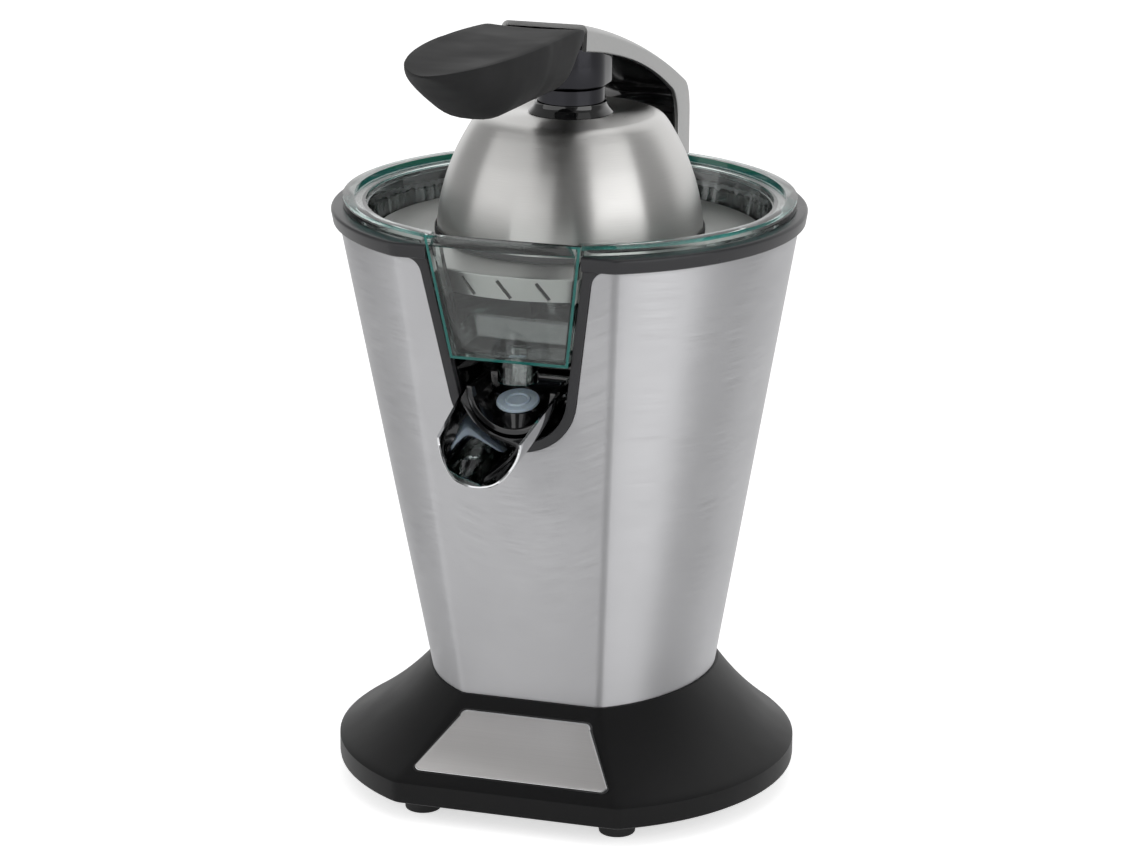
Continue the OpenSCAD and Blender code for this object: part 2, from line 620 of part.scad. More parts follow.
// Point of a curve moved sideways by d
function beside(a, b, c, t, d) = let (w = bezier_way(a, b, c, t)) bezier(a, b, c, t) + d * [-w[1], w[0]];
arm_front = 60;
over_all = dome_top + 100;             // cuts that reach up to here reach past everything
back_y = hinge_y + knuckle_r;          // rear face of the arm's leg
leg_y = hinge_y - knuckle_r + 1.2;     // front face of the arm's leg
crown_a = [-arm_front, dome_top + 50.5];
crown_b = [40, dome_top + 30];
crown_c = [back_y - 8, dome_top - 7];
under_a = [-arm_front, dome_top + 38];
under_b = [35, dome_top + 23];
under_c = [leg_y - 13, dome_top - 5];
arm_solid = -24;                       // ahead of this the arm is solid, to carry the tongue
arm_steps = 12;
// Side outline of the arm: d moves the crown, e the underside, inwards
function arm_outline(d, e) = concat(
    [for (i = [0:arm_steps]) beside(crown_a, crown_b, crown_c, i / arm_steps, -d)],
    [[back_y - d, crown_c[1] - 7], [back_y - d, hinge_z]],
    [[leg_y + e, hinge_z], [leg_y + e, under_c[1] - 17], [leg_y + e - 1.2, under_c[1] - 11], [leg_y + e - 5, under_c[1] - 5]],
    [for (i = [arm_steps:-1:0]) beside(under_a, under_b, under_c, i / arm_steps, e)]);
module side_extrude(half) { translate([-half, 0, 0]) rotate([90, 0, 90]) linear_extrude(2 * half) children(); }
cover_t = 2.2;
cover_sink = 1.2;
cover_gap = 0.15;
// Everything above the arm's underside, moved inwards by e
module above_underside(e) {
    side_extrude(60) polygon(concat([for (i = [0:arm_steps]) beside(under_a, under_b, under_c, i / arm_steps, e)],
        [[back_y, over_all], [-arm_front, over_all]]));
}
hub_half = arm_x - arm_wall;
module lever_arm() {
    color([0.72, 0.72, 0.71]) on_axis() difference() {
        union() {
            difference() {
                side_extrude(arm_x) polygon(arm_outline(0, 0));
                side_extrude(arm_x - arm_wall) difference() {
                    polygon(arm_outline(arm_wall, -6));
                    translate([arm_solid - 200, dome_top - 3]) square([200, 100]);
                }
                before_grip(seat_gap);
            }
            tongue(0);
            for (s = [-1, 1]) translate([s * (arm_x - arm_wall / 2), hinge_y, hinge_z]) rotate([0, 90, 0])
                cylinder(r = knuckle_r, h = arm_wall, center = true);
            translate([0, hinge_y, hinge_z]) rotate([0, 90, 0]) cylinder(r = knuckle_r - 2.6, h = 2 * arm_x - 1, center = true);
        }
        for (y = grip_screw_y) translate([0, -y, tongue_low - 1]) cylinder(r = screw_r + 0.03, h = tongue_t);
        translate([0, hinge_y, hinge_z]) rotate([0, 90, 0]) cylinder(r = hinge_bush_r + run_fit / 2, h = 3 * arm_x, center = true);
    }
}
module arm_cover() {
    color([0.06, 0.06, 0.065]) on_axis() difference() {
        side_extrude(arm_x - arm_wall - cover_gap) difference() {
            polygon(arm_outline(arm_wall + cover_gap, cover_sink));
            polygon(arm_outline(arm_wall + cover_gap - 1, cover_sink + cover_t));
        }
        translate([0, hinge_y, hinge_z]) rotate([0, 90, 0]) cylinder(r = knuckle_r - 2.2, h = 3 * arm_x, center = true);
        translate([-50, arm_solid + seat_gap - 200, dome_top - 3]) cube([100, 200, 80]);
    }
}

// ---- grip ---------------------------------------------------------------------------------------
grip_rings = 16;
grip_len = grip_tip - grip_rear;
function grip_half(t) = let (u = min(1, t / 0.45), v = max(0, (t - 0.45) / 0.55))
    v > 0 ? grip_x * pow(max(0, 1 - pow(v, 2.2)), 0.6) + 0.4 : mix(arm_x + 0.6, grip_x, sin(90 * u));
grip_z = dome_top + 45.4;              // height of the grip's edge at its rear
function grip_crown(t) = grip_z + 15 * t - 9 * t * t;
rear_slant = 0.15;                     // share of the grip's length taken by its slanted rear face
function grip_belly(t) = let (v = max(0, (t - 0.63) / 0.37))
    grip_crown(t) - min(1, 0.06 + 0.94 * t / rear_slant) * mix(28.4, 0.8, pow(v, 1.06));
function grip_ring(t) = let (w = grip_half(t), top = grip_crown(t), low = grip_belly(t), d = top - low)
    [for (p = [[-0.97, -0.35], [-0.82, -0.66], [-0.5, -0.92], [0, -1], [0.5, -0.92], [0.82, -0.66], [0.97, -0.35],
        [1, -0.1], [0.93, 0], [0.5, -0.045], [0, -0.06], [-0.5, -0.045], [-0.93, 0], [-1, -0.1]])
        [w * p[0], -grip_rear - grip_len * t, top + d * p[1]]];
module grip() {
    color([0.1, 0.1, 0.11]) on_axis() difference() {
        loft([for (i = [0:grip_rings + 2]) grip_ring(i < 3 ? i * rear_slant / 3 : mix(rear_slant, 1, (i - 3) / (grip_rings - 1)))]);
        tongue(seat_gap / 2);
        for (y = grip_screw_y) translate([0, -y, grip_seat(y)]) {
            cylinder(r = screw_r + 0.1, h = tongue_low + tongue_t - grip_seat(y));
            translate([0, 0, -20]) cylinder(r = screw_head + 0.2, h = 20);
        }
    }
}
grip_screw_y = [56, 70];
screw_head = 2.8;
function grip_seat(y) = grip_belly((y - grip_rear) / grip_len) + 2.6;
tongue_x = arm_x - 5;
tongue_len = 42;
tongue_low = dome_top + 34;
tongue_t = 6;
// Everything ahead of the grip's slanted rear face, moved backwards by d
module before_grip(d) {
    side_extrude(60) polygon([[-grip_rear + d, over_all], [-grip_rear + d, grip_belly(0)],
        [-grip_rear - rear_slant * grip_len + d, grip_belly(rear_slant)],
        [-grip_rear - rear_slant * grip_len + d, dome_top - 20], [-grip_tip, dome_top - 20], [-grip_tip, over_all]]);
}
// The arm's tongue inside the grip, grown by d
module tongue(d) {
    side_extrude(tongue_x + d) translate([-grip_rear - tongue_len - d, tongue_low - d])
        square([arm_solid - 2 + grip_rear + tongue_len + d, tongue_t + 2 * d]);
}
module grip_screws() {
    color([0.6, 0.6, 0.62]) on_axis() for (y = grip_screw_y) translate([0, -y, grip_seat(y)])
        screw(screw_r, tongue_low + tongue_t - 2 - grip_seat(y), screw_head);
}

// ---- hinge --------------------------------------------------------------------------------------
hinge_bush_r = hinge_pin_r + 1.6;
ear_gap = 0.5;
ear_t = 5;
ear_x = arm_x + ear_gap;
ear_r = knuckle_r - 0.6;
bracket_low = body_top - 38;
bracket_y = body_rear(bracket_low) - 16;            // front face of the bracket's block before it is fitted
bracket_rear = body_rear(bracket_low) + 5.1;        // rear face of the block
bracket_screw_x = arm_x - 7;
bracket_screw_z = bracket_low + 8;
// Cylinders on the axes of the bracket's screws, from y backwards
module bracket_screw_holes(r, y) {
    for (s = [-1, 1]) translate([s * bracket_screw_x, y, bracket_screw_z]) rotate([-90, 0, 0]) cylinder(r = r, h = 40);
}
module hinge_bracket() {
    color([0.12, 0.12, 0.13]) on_axis() difference() {
        union() {
            for (s = [0, 1]) mirror([s, 0, 0]) translate([ear_x, 0, 0]) rotate([90, 0, 90]) linear_extrude(ear_t) hull() {
                translate([hinge_y, hinge_z]) circle(r = ear_r);
                translate([bracket_y, bracket_low]) square([12, 34]);
            }
            translate([-ear_x - 1, bracket_y, bracket_low]) cube([2 * ear_x + 2, bracket_rear - bracket_y, 20]);
        }
        body_solid(bracket_low - 10, hinge_z + 40, -0.05);
        body_solid(body_top - seat_gap, hinge_z + 40, -trim_out - seat_gap);
        translate([0, hinge_y, hinge_z]) rotate([0, 90, 0]) cylinder(r = hinge_pin_r + run_fit / 2, h = 4 * arm_x, center = true);
        bracket_screw_holes(screw_r + 0.1, bracket_y);
    }
}
module hinge_pin() {
    color([0.7, 0.7, 0.72]) on_axis() translate([-ear_x - ear_t, hinge_y, hinge_z]) rotate([0, 90, 0])
        cylinder(r = hinge_pin_r, h = 2 * (ear_x + ear_t));
}
module hinge_bushes() {
    color([0.85, 0.84, 0.8]) on_axis() for (s = [-1, 1]) translate([s * (arm_x - 5 + 0.1), hinge_y, hinge_z]) rotate([0, 90, 0])
        translate([0, 0, -5]) tube(hinge_bush_r, hinge_pin_r + run_fit, 10);
}
module bracket_screws() {
    color([0.6, 0.6, 0.62]) on_axis() for (s = [-1, 1]) translate([s * bracket_screw_x, bracket_rear, bracket_screw_z])
        rotate([90, 0, 0]) screw(screw_r, bracket_rear - tub_r(bracket_screw_z) - 1.6, 3);
}

// ---- spout --------------------------------------------------------------------------------------
spout_pivot_y = 57;
spout_pivot_z = cut_z - 8.5;
spout_pin_r = 2;
spout_top = [-79, cut_z + 1];          // rear end of the trough's axis: y, z
spout_wall = 1.2;
insert_r = spout_r - spout_wall - 0.15;
insert_wall = 2.2;
plug_z = cut_z - 10;
insert_lap = 3;                        // how far the insert reaches into the spout
insert_back = 54;                      // rear face of the insert's dish
module trough(ro, ri, len, taper = 0) {
    difference() {
        cylinder(r1 = ro, r2 = ro - taper, h = len);
        if (ri > 0) cylinder(r1 = ri, r2 = ri - taper, h = len);
        translate([-50, 0, -50]) cube([100, 50, len + 100]);
    }
}
spout_bevel = 8;                       // how far the upper edges stop short of the keel
// Trough along the spout's sloped axis
module sloped_trough(ro, ri) {
    translate([0, spout_top[0], spout_top[1]]) rotate([90 + spout_slope, 0, 0]) difference() {
        trough(ro, ri, spout_len, spout_taper);
        rotate([90, 0, 90]) linear_extrude(100, center = true)
            polygon([[-spout_r, spout_len], [0.1, spout_len - spout_bevel], [0.1, spout_len + 1], [-spout_r, spout_len + 1]]);
    }
}
module spout() {
    color([0.8, 0.8, 0.8]) on_axis() sloped_trough(spout_r, spout_r - spout_wall);
}
module spout_insert() {
    color([0.07, 0.07, 0.075]) on_axis() difference() {
        union() {
            translate([0, -insert_back, spout_top[1]]) rotate([90, 0, 0])
                trough(insert_r, insert_r - insert_wall, insert_lap - insert_back - spout_top[0]);
            translate([0, -insert_back, spout_top[1]]) rotate([90, 0, 0]) trough(insert_r, 0, insert_wall);
            intersection() {           // pedestal of the plug
                translate([0, -nozzle_y, plug_z - 12]) cylinder(r = plug_r - 1.5, h = 12);
                translate([0, -50, spout_top[1]]) rotate([90, 0, 0]) cylinder(r = insert_r - 0.6, h = 40);
            }
            for (s = [-1, 1]) translate([s * (insert_r - 2.4), -spout_pivot_y, spout_pivot_z]) rotate([0, 90, 0])
                cylinder(r = 4, h = 3.4, center = true);
        }
        sloped_trough(spout_r + 1, insert_r - 0.05);
        for (s = [-1, 1]) translate([s * (insert_r - 2.4), -spout_pivot_y, spout_pivot_z]) rotate([0, 90, 0])
            cylinder(r = spout_pin_r + run_fit / 2, h = 12, center = true);
    }
}
module spout_pins() {
    color([0.7, 0.7, 0.72]) on_axis() for (s = [0, 1]) mirror([s, 0, 0])
        translate([insert_r - 3.3, -spout_pivot_y, spout_pivot_z]) rotate([0, 90, 0])
            cylinder(r = spout_pin_r, h = cut_r - trim_w + 3.45 - insert_r);
}
module valve_plug() {
    color([0.85, 0.9, 0.95]) on_axis() translate([0, -nozzle_y, plug_z]) rotate_extrude()
        polygon([[0, 0], [plug_r - 0.6, 0], [plug_r, 0.8], [plug_r, 2.4], [plug_r - 0.8, 3], [5.6, 3], [5, 2.2], [0, 2.2]]);
}

// ---- gears and gearbox --------------------------------------------------------------------------
box_low = cover_top - 29;
box_wall = 3;
big_z = box_low + 5;                   // lower face of the pinion and the idler's large gear
big_h = 8;
small_z = big_z + big_h + 1.5;
small_h = 9;
mesh_slack = 0.12;                     // added centre distance for backlash
idler_gap = gear_m * (output_teeth + pinion_teeth) / 2 + mesh_slack;
motor_gap = gear_m * (idler_teeth + pinion_teeth) / 2 + mesh_slack;
idler_at = idler_gap * [cos(idler_dir), sin(idler_dir)];
motor_at = idler_at + motor_gap * [cos(motor_dir), sin(motor_dir)];
pressure = 20;
function involute(rb, a) = rb * [cos(a) + a * PI / 180 * sin(a), sin(a) - a * PI / 180 * cos(a)];
function rot2(p, a) = [p[0] * cos(a) - p[1] * sin(a), p[0] * sin(a) + p[1] * cos(a)];
// Spur gear outline with true involute flanks
module gear_shape(teeth, add) {
    rp = gear_m * teeth / 2;
    rb = rp * cos(pressure);
    ro = rp + gear_m * add;
    rf = rp - 1.3 * gear_m;
    inv_p = tan(pressure) * 180 / PI - pressure;
    half = 87 / teeth;   // half tooth angle at the pitch circle, less backlash
    a1 = sqrt(pow(max(ro / rb, 1), 2) - 1) * 180 / PI;
    flank = [for (i = [0:4]) rot2(involute(rb, a1 * i / 4), -half - inv_p)];
    root = rot2([rf, 0], -half - inv_p);
    side = concat([root], flank);
    tooth = concat(side, [for (i = [len(side) - 1:-1:0]) [side[i][0], -side[i][1]]]);
    polygon([for (k = [0:teeth - 1]) for (p = tooth) rot2(p, k * 360 / teeth)]);
}
// Turns that bring meshing gears tooth to gap
idler_big_turn = motor_dir;               // a tooth of the large gear points at the motor
pinion_turn = motor_dir + 180 + 180 / pinion_teeth;
idler_small_turn = idler_dir + 180 + 180 / pinion_teeth;
hex_r = hex_af / sqrt(3);
module output_gear() {
    color([0.9, 0.88, 0.8]) on_axis() difference() {
        union() {
            translate([0, 0, small_z]) linear_extrude(small_h) rotate(idler_dir) gear_shape(output_teeth, 0.75);
            translate([0, 0, box_low + 0.8]) cylinder(r = 8, h = cover_top - box_low - 1.6);
        }
        translate([0, 0, box_low - 1]) cylinder(r = hex_r + 0.15, h = 40, $fn = 6);
    }
}
module idler_gear() {
    color([0.88, 0.86, 0.78]) on_axis() translate([idler_at[0], idler_at[1], 0]) difference() {
        union() {
            translate([0, 0, big_z]) linear_extrude(big_h) rotate(idler_big_turn) gear_shape(idler_teeth, 0.75);
            translate([0, 0, big_z + big_h - eps]) cylinder(r = 4.4, h = small_z - big_z - big_h + 2 * eps);
            translate([0, 0, small_z - 0.6]) linear_extrude(small_h + 0.6) rotate(idler_small_turn) gear_shape(pinion_teeth, 0.9);
            translate([0, 0, box_low + box_wall + 0.3]) cylinder(r = 6, h = 2);
        }
        translate([0, 0, box_low]) cylinder(r = idler_pin_r + run_fit, h = 40);
    }
}
idler_pin_r = 2.5;
module idler_axle() {
    color([0.7, 0.7, 0.72]) on_axis() translate([idler_at[0], idler_at[1], box_low + 0.4])
        cylinder(r = idler_pin_r, h = cover_top - box_low - 0.8);
}
module pinion() {
    color([0.75, 0.62, 0.35]) on_axis() translate([motor_at[0], motor_at[1], big_z - 1]) difference() {
        linear_extrude(big_h + 2) rotate(pinion_turn) gear_shape(pinion_teeth, 0.9);
        translate([0, 0, -1]) cylinder(r = motor_shaft_r + 0.01, h = 20);
    }
}
motor_shaft_r = 2.5;
wall_out = gear_m * (output_teeth / 2 + 1) + 2;   // inner radii of the gearbox around the gears
wall_idler = gear_m * (idler_teeth / 2 + 1) + 2;
module box_outline(d) {
    hull() {
        circle(r = wall_out + d);
        translate(idler_at) circle(r = wall_idler + d);
        translate(motor_at) circle(r = 12 + d);
    }
}
module gearbox_housing() {
    color([0.25, 0.25, 0.27]) on_axis() difference() {
        union() {
            translate([0, 0, box_low]) linear_extrude(cover_top - box_wall - box_low) box_outline(box_wall);
            translate([0, 0, box_low - 10]) tube(6.5, pusher_r + run_fit, 10.5);
            translate([-7, -24, box_low - 33]) cube([14, 6, 33.5]);
        }
        difference() {
            translate([0, 0, box_low + box_wall]) linear_extrude(40) box_outline(0);
            for (p = [[0, 0], idler_at]) translate([p[0], p[1], box_low]) cylinder(r = p[0] == 0 ? bushing_r + 2 : 5, h = box_wall + (p[0] == 0 ? 1.5 : 0.2));
        }
        translate([0, 0, box_low + 0.5]) cylinder(r = bushing_r + run_fit / 2, h = 10);
        translate([0, 0, box_low - 11]) cylinder(r = pusher_r + run_fit, h = 20);
        translate([idler_at[0], idler_at[1], box_low + 0.3]) cylinder(r = idler_pin_r + 0.02, h = 10);
        translate([motor_at[0], motor_at[1], box_low - 1]) cylinder(r = 5.6, h = 10);
        for (s = [-1, 1]) translate([motor_at[0] + s * motor_screw_x, motor_at[1], box_low - 1]) {
            cylinder(r = screw_r + 0.1, h = 10);
            translate([0, 0, 2.8]) cylinder(r = 2.6, h = 10);
        }
    }
}
bushing_r = 10;
module output_bushes() {
    color([0.72, 0.6, 0.4]) on_axis() {
        translate([0, 0, box_low + 0.5]) tube(bushing_r, 8 + run_fit, 4);
        translate([0, 0, cover_top - 4.5]) tube(bushing_r, 8 + run_fit, 4);
    }
}
module gearbox_cover() {
    color([0.28, 0.28, 0.3]) on_axis() difference() {
        union() {
            translate([0, 0, cover_top - box_wall]) linear_extrude(box_wall) box_outline(box_wall);
            translate([0, 0, cover_top - 4.5]) cylinder(r = bushing_r + 2, h = 4);
            translate([idler_at[0], idler_at[1], cover_top - box_wall - 1]) cylinder(r = 5, h = 2);
        }
        translate([0, 0, cover_top - 5]) cylinder(r = bushing_r + run_fit / 2, h = 4.5);
        translate([0, 0, cover_top - 5]) cylinder(r = 8.4, h = 10);
        translate([idler_at[0], idler_at[1], cover_top - 5]) cylinder(r = idler_pin_r + 0.02, h = 4.7);
        for (p = mount_at) translate([p[0], p[1], cover_top - 10]) cylinder(r = screw_r + 0.1, h = 14);
    }
}
module gearbox_screws() {
    color([0.6, 0.6, 0.62]) on_axis() for (p = mount_at) translate([p[0], p[1], cover_top - box_wall]) screw(screw_r - 0.25, 14, 2.8);
}

// ---- shaft, press switch ------------------------------------------------------------------------
flange_z = cover_top + 13;
pusher_r = 3.4;
pusher_foot = box_low - 12;
module drive_shaft() {
    color([0.78, 0.78, 0.8]) on_axis() {
        translate([0, 0, box_low + 3.5]) cylinder(r = hex_r, h = flange_z - box_low - 3.5, $fn = 6);
        translate([0, 0, flange_z]) cylinder(r = 8, h = 2);
        translate([0, 0, flange_z + 1]) cylinder(r = shaft_r, h = collar_top + 2 - flange_z);
        translate([0, 0, collar_top + 2]) cylinder(r = hex_r, h = 22, $fn = 6);
    }
}
module thrust_washer() {
    color([0.92, 0.92, 0.9]) on_axis() translate([0, 0, flange_z - 1.6]) tube(9.4, hex_r + 0.3, 1.5);
}
module switch_pusher() {
    color([0.85, 0.3, 0.2]) on_axis() {
        translate([0, 0, pusher_foot]) cylinder(r = pusher_r, h = box_low + 3.4 - pusher_foot);
        translate([-3, -13, pusher_foot - 3]) cube([6, 13, 3]);
        translate([0, 0, pusher_foot - 3]) cylinder(r = pusher_r, h = 3);
    }
}
switch_y = -10;
module switch_body() {
    color([0.1, 0.1, 0.1]) on_axis() difference() {
        translate([-10, -18, box_low - 33]) cube([20, 12, 14.5]);
        translate([0, switch_y, box_low - 30]) cylinder(r = 2 + run_fit, h = 20);
    }
}
module switch_button() {
    color([0.8, 0.1, 0.1]) on_axis() translate([0, switch_y, box_low - 24.5]) cylinder(r = 2, h = pusher_foot - 3 - 0.3 - box_low + 24.5);
}
spring_turns = 4;
spring_r = 7.6;
wire_r = 0.7;
spring_low = cover_top + 0.3;
module return_spring() {
    steps = 16 * spring_turns;
    rise = flange_z - 1.6 - 0.3 - spring_low - 2 * wire_r;
    color([0.75, 0.75, 0.77]) on_axis() loft([for (i = [0:steps]) let (a = i * 22.5, z = spring_low + wire_r + rise * i / steps)
        [for (k = [0:5]) let (b = -k * 60) [(spring_r + wire_r * cos(b)) * cos(a), (spring_r + wire_r * cos(b)) * sin(a), z + wire_r * sin(b)]]]);
}

// ---- motor --------------------------------------------------------------------------------------
motor_top = box_low - 0.2;
motor_low = motor_top - motor_h;
can_t = 1.8;
motor_screw_x = 12;
module at_motor(z) { on_axis() translate([motor_at[0], motor_at[1], z]) children(); }
module motor_can() {
    color([0.62, 0.63, 0.65]) at_motor(motor_low) difference() {
        cylinder(r = motor_r, h = motor_h);
        translate([0, 0, -1]) cylinder(r = motor_r - can_t, h = motor_h - can_t + 1);
        cylinder(r = 6.02, h = motor_h + 1);
        for (s = [-1, 1]) translate([s * motor_screw_x, 0, 0]) cylinder(r = screw_r - 0.1, h = motor_h + 1);
        for (a = [45:90:315]) rotate(a) translate([motor_r, 0, 10]) cube([10, 6, 8], center = true);
    }
}
magnet_t = 5;
module motor_magnets() {
    color([0.2, 0.2, 0.21]) at_motor(motor_low + 14) for (s = [0, 180]) rotate(s) difference() {
        cylinder(r = motor_r - can_t - 0.05, h = motor_h - 22);
        translate([0, 0, -1]) cylinder(r = motor_r - can_t - magnet_t, h = motor_h);
        translate([-50, -100, -1]) cube([100, 100 + 6, motor_h]);
    }
}
module motor_end_cap() {
    color([0.15, 0.15, 0.17]) at_motor(motor_low - 6) difference() {
        union() {
            cylinder(r = motor_r - 1, h = 5.8);
            cylinder(r = motor_r - can_t - 0.1, h = 9);
            for (s = [0, 180]) rotate(s) translate([8.2, -4.5, 6]) cube([14, 9, 11]);
        }
        translate([0, 0, 3]) difference() { cylinder(r = motor_r - 5, h = 20); for (s = [0, 180]) rotate(s) translate([8.2, -4.5, -1]) cube([14, 9, 30]); cylinder(r = 8, h = 3); }
        translate([0, 0, 2]) cylinder(r = 6.02, h = 10);
        for (s = [0, 180]) rotate(s) translate([7, -2.6, 9]) cube([20, 5.2, 5.2]);
    }
}
module motor_brushes() {
    color([0.18, 0.18, 0.18]) at_motor(motor_low + 3) for (s = [0, 180]) rotate(s) translate([7.6, -2.5, 0.1]) cube([13, 5, 5]);
}
module commutator() {
    color([0.78, 0.5, 0.3]) at_motor(motor_low + 1.5) difference() {
        cylinder(r = 7.3, h = 9);
        translate([0, 0, -1]) cylinder(r = motor_shaft_r + 0.01, h = 20);
        for (i = [0:11]) rotate(i * 30) translate([6.6, -0.2, -1]) cube([2, 0.4, 12]);
    }
}
core_r = motor_r - can_t - magnet_t - 0.9;
module armature() {
    color([0.6, 0.38, 0.2]) at_motor(motor_low + 15) difference() {
        union() {
            cylinder(r = core_r, h = motor_h - 26);
            translate([0, 0, -3.5]) cylinder(r = core_r - 4, h = motor_h - 19);
        }
        for (i = [0:11]) rotate(i * 30) translate([core_r - 3, -1, -1]) cube([6, 2, motor_h - 24]);
        translate([0, 0, -5]) cylinder(r = motor_shaft_r + 0.01, h = 60);
    }
}
module motor_shaft() {
    color([0.78, 0.78, 0.8]) at_motor(motor_low - 3.6) cylinder(r = motor_shaft_r, h = big_z + big_h + 1 - motor_low + 3.6);
}
module motor_bushes() {
    color([0.72, 0.6, 0.4]) {
        at_motor(motor_low - 4) tube(6, motor_shaft_r + run_fit, 4.5);
        at_motor(motor_top - can_t - 3) tube(6, motor_shaft_r + run_fit, 4.7);
    }
}
module motor_screws() {
    color([0.6, 0.6, 0.62]) for (s = [-1, 1]) at_motor(box_low + 1.8) translate([s * motor_screw_x, 0, 0])
        rotate([180, 0, 0]) screw(screw_r - 0.15, 5.2, 2.4);
}

// ---- mains side ---------------------------------------------------------------------------------
module cord_gland() {
    color([0.06, 0.06, 0.06]) on_axis() translate([0, gland_y0, gland_z]) rotate([-90, 0, 0])
        tube(gland_r, cable_r, gland_len);
}
module terminal_block() {
    color([0.9, 0.9, 0.88]) on_axis() difference() {
        translate([-15, 48, skirt_low + plate_t]) cube([30, 14, 12]);
        for (x = [-9, 0, 9]) translate([x, 40, skirt_low + plate_t + 6]) rotate([-90, 0, 0]) cylinder(r = 2, h = 30);
    }
}

base_shell();
base_plate();
rubber_feet();
badge_plate();
body_shell();
rim_trim();
inner_housing();
support_columns();
gearbox_housing();
gearbox_cover();
idler_axle();
idler_gear();
output_gear();
output_bushes();
drive_shaft();
shaft_bush();
shaft_seal();
thrust_washer();
return_spring();
switch_pusher();
switch_body();
switch_button();
motor_can();
motor_magnets();
motor_end_cap();
motor_brushes();
armature();
commutator();
motor_shaft();
pinion();
motor_bushes();
juice_bowl();
strainer();
reamer();
press_dome();
dome_liner();
dome_gasket();
dome_cap();
neck_sleeve();
lever_arm();
arm_cover();
grip();
hinge_bracket();
hinge_pin();
hinge_bushes();
spout();
spout_insert();
spout_pins();
valve_plug();
cord_gland();
terminal_block();
base_screws();
bracket_screws();
gearbox_screws();
motor_screws();
grip_screws();
dome_screw();
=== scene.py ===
"""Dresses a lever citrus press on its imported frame: steel body, clear bowl, press dome, arm and grip."""
import json
import logging
import math
from dataclasses import astuple, dataclass
from enum import Enum
from functools import partial
from typing import Callable, Sequence

import bmesh
import bpy
from mathutils import Matrix, Vector


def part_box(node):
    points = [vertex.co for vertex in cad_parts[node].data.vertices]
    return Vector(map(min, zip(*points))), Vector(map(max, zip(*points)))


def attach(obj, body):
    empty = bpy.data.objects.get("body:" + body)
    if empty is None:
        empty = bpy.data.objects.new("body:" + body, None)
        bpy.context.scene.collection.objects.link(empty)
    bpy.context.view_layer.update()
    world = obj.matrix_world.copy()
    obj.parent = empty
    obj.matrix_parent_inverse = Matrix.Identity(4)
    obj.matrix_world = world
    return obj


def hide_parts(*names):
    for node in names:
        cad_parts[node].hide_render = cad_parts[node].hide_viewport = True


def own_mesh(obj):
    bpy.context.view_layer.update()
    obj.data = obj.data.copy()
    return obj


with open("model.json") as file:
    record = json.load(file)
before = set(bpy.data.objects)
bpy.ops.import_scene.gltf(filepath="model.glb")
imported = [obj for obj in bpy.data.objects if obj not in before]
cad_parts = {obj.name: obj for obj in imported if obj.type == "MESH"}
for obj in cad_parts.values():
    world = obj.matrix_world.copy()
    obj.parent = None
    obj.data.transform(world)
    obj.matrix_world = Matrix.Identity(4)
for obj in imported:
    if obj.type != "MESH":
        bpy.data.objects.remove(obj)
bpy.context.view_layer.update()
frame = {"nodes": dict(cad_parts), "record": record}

LOG = logging.getLogger("citrus_press")
MM = 0.001
NODES = frame["nodes"]
Tree = bpy.types.NodeTree
Node = bpy.types.Node
Socket = bpy.types.NodeSocket
Material = bpy.types.Material
Piece = bpy.types.Object
Point = tuple[float, float, float]
Ring = list[Point]
Outline = list[tuple[float, float]]
Relief = tuple[Node | Socket, float] | None
Knots = tuple[tuple[float, float], ...]


def centre_y(node: str) -> float:
    """Middle of a CAD node along Y, in millimetres."""
    low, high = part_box(node)
    return (low.y + high.y) / 2 / MM


AXIS_Y = centre_y("press_dome")  # where the juicing axis stands
MERGE_MM = 0.002  # corners nearer than this become one
CAD_MERGE_MM = 0.004  # the same in a CAD node's mesh
FLAT_DEG = 0.6  # faces of a CAD node bent less than this become one
SHARP_DEG = 35  # edges bent more than this stay sharp
ROUNDED_SHARP_DEG = 40  # the same after edges were rounded


class Axis(Enum):
    """Direction in which a metal was brushed or turned."""

    ROUND = "round"
    ALONG_X = "x"


# ---- node trees ---------------------------------------------------------------------------------


def linear(hex_colour: str) -> tuple[float, float, float, float]:
    """Turns an sRGB hex colour into linear RGBA.

    Args:
        hex_colour: Six hex digits after a hash.

    Returns:
        Linear red, green and blue, and an alpha of 1.
    """
    digits = hex_colour.lstrip("#")
    values = [int(digits[i : i + 2], 16) / 255 for i in (0, 2, 4)]
    r, g, b = (v / 12.92 if v <= 0.04045 else ((v + 0.055) / 1.055) ** 2.4 for v in values)
    return r, g, b, 1.0


def wire(tree: Tree, node: Node, inputs: dict) -> None:
    """Fills or links a node's inputs.

    Args:
        tree: The node's tree.
        node: The node.
        inputs: Input name or index to a value, an output, or a node, whose first output is taken.
    """
    for key, value in inputs.items():
        source = value.outputs[0] if isinstance(value, Node) else value
        if isinstance(source, Socket):
            tree.links.new(source, node.inputs[key])
        else:
            node.inputs[key].default_value = source


def add(tree: Tree, kind: str, inputs: dict | None = None, **settings: object) -> Node:
    """Adds a node, sets its properties and wires its inputs.

    Args:
        tree: The tree that gets the node.
        kind: Blender's identifier of the node type.
        inputs: As wire() takes them.
        **settings: Properties of the node.

    Returns:
        The new node.
    """
    node = tree.nodes.new(kind)
    for key, value in settings.items():
        setattr(node, key, value)
    wire(tree, node, inputs or {})
    return node


def per_metre(size_mm: float) -> float:
    """Noise scale whose features are about size_mm long."""
    return 1 / (size_mm * MM)


def end_of(tree: Tree) -> Node:
    """The output node of a material's tree."""
    return next(n for n in tree.nodes if n.type == "OUTPUT_MATERIAL")


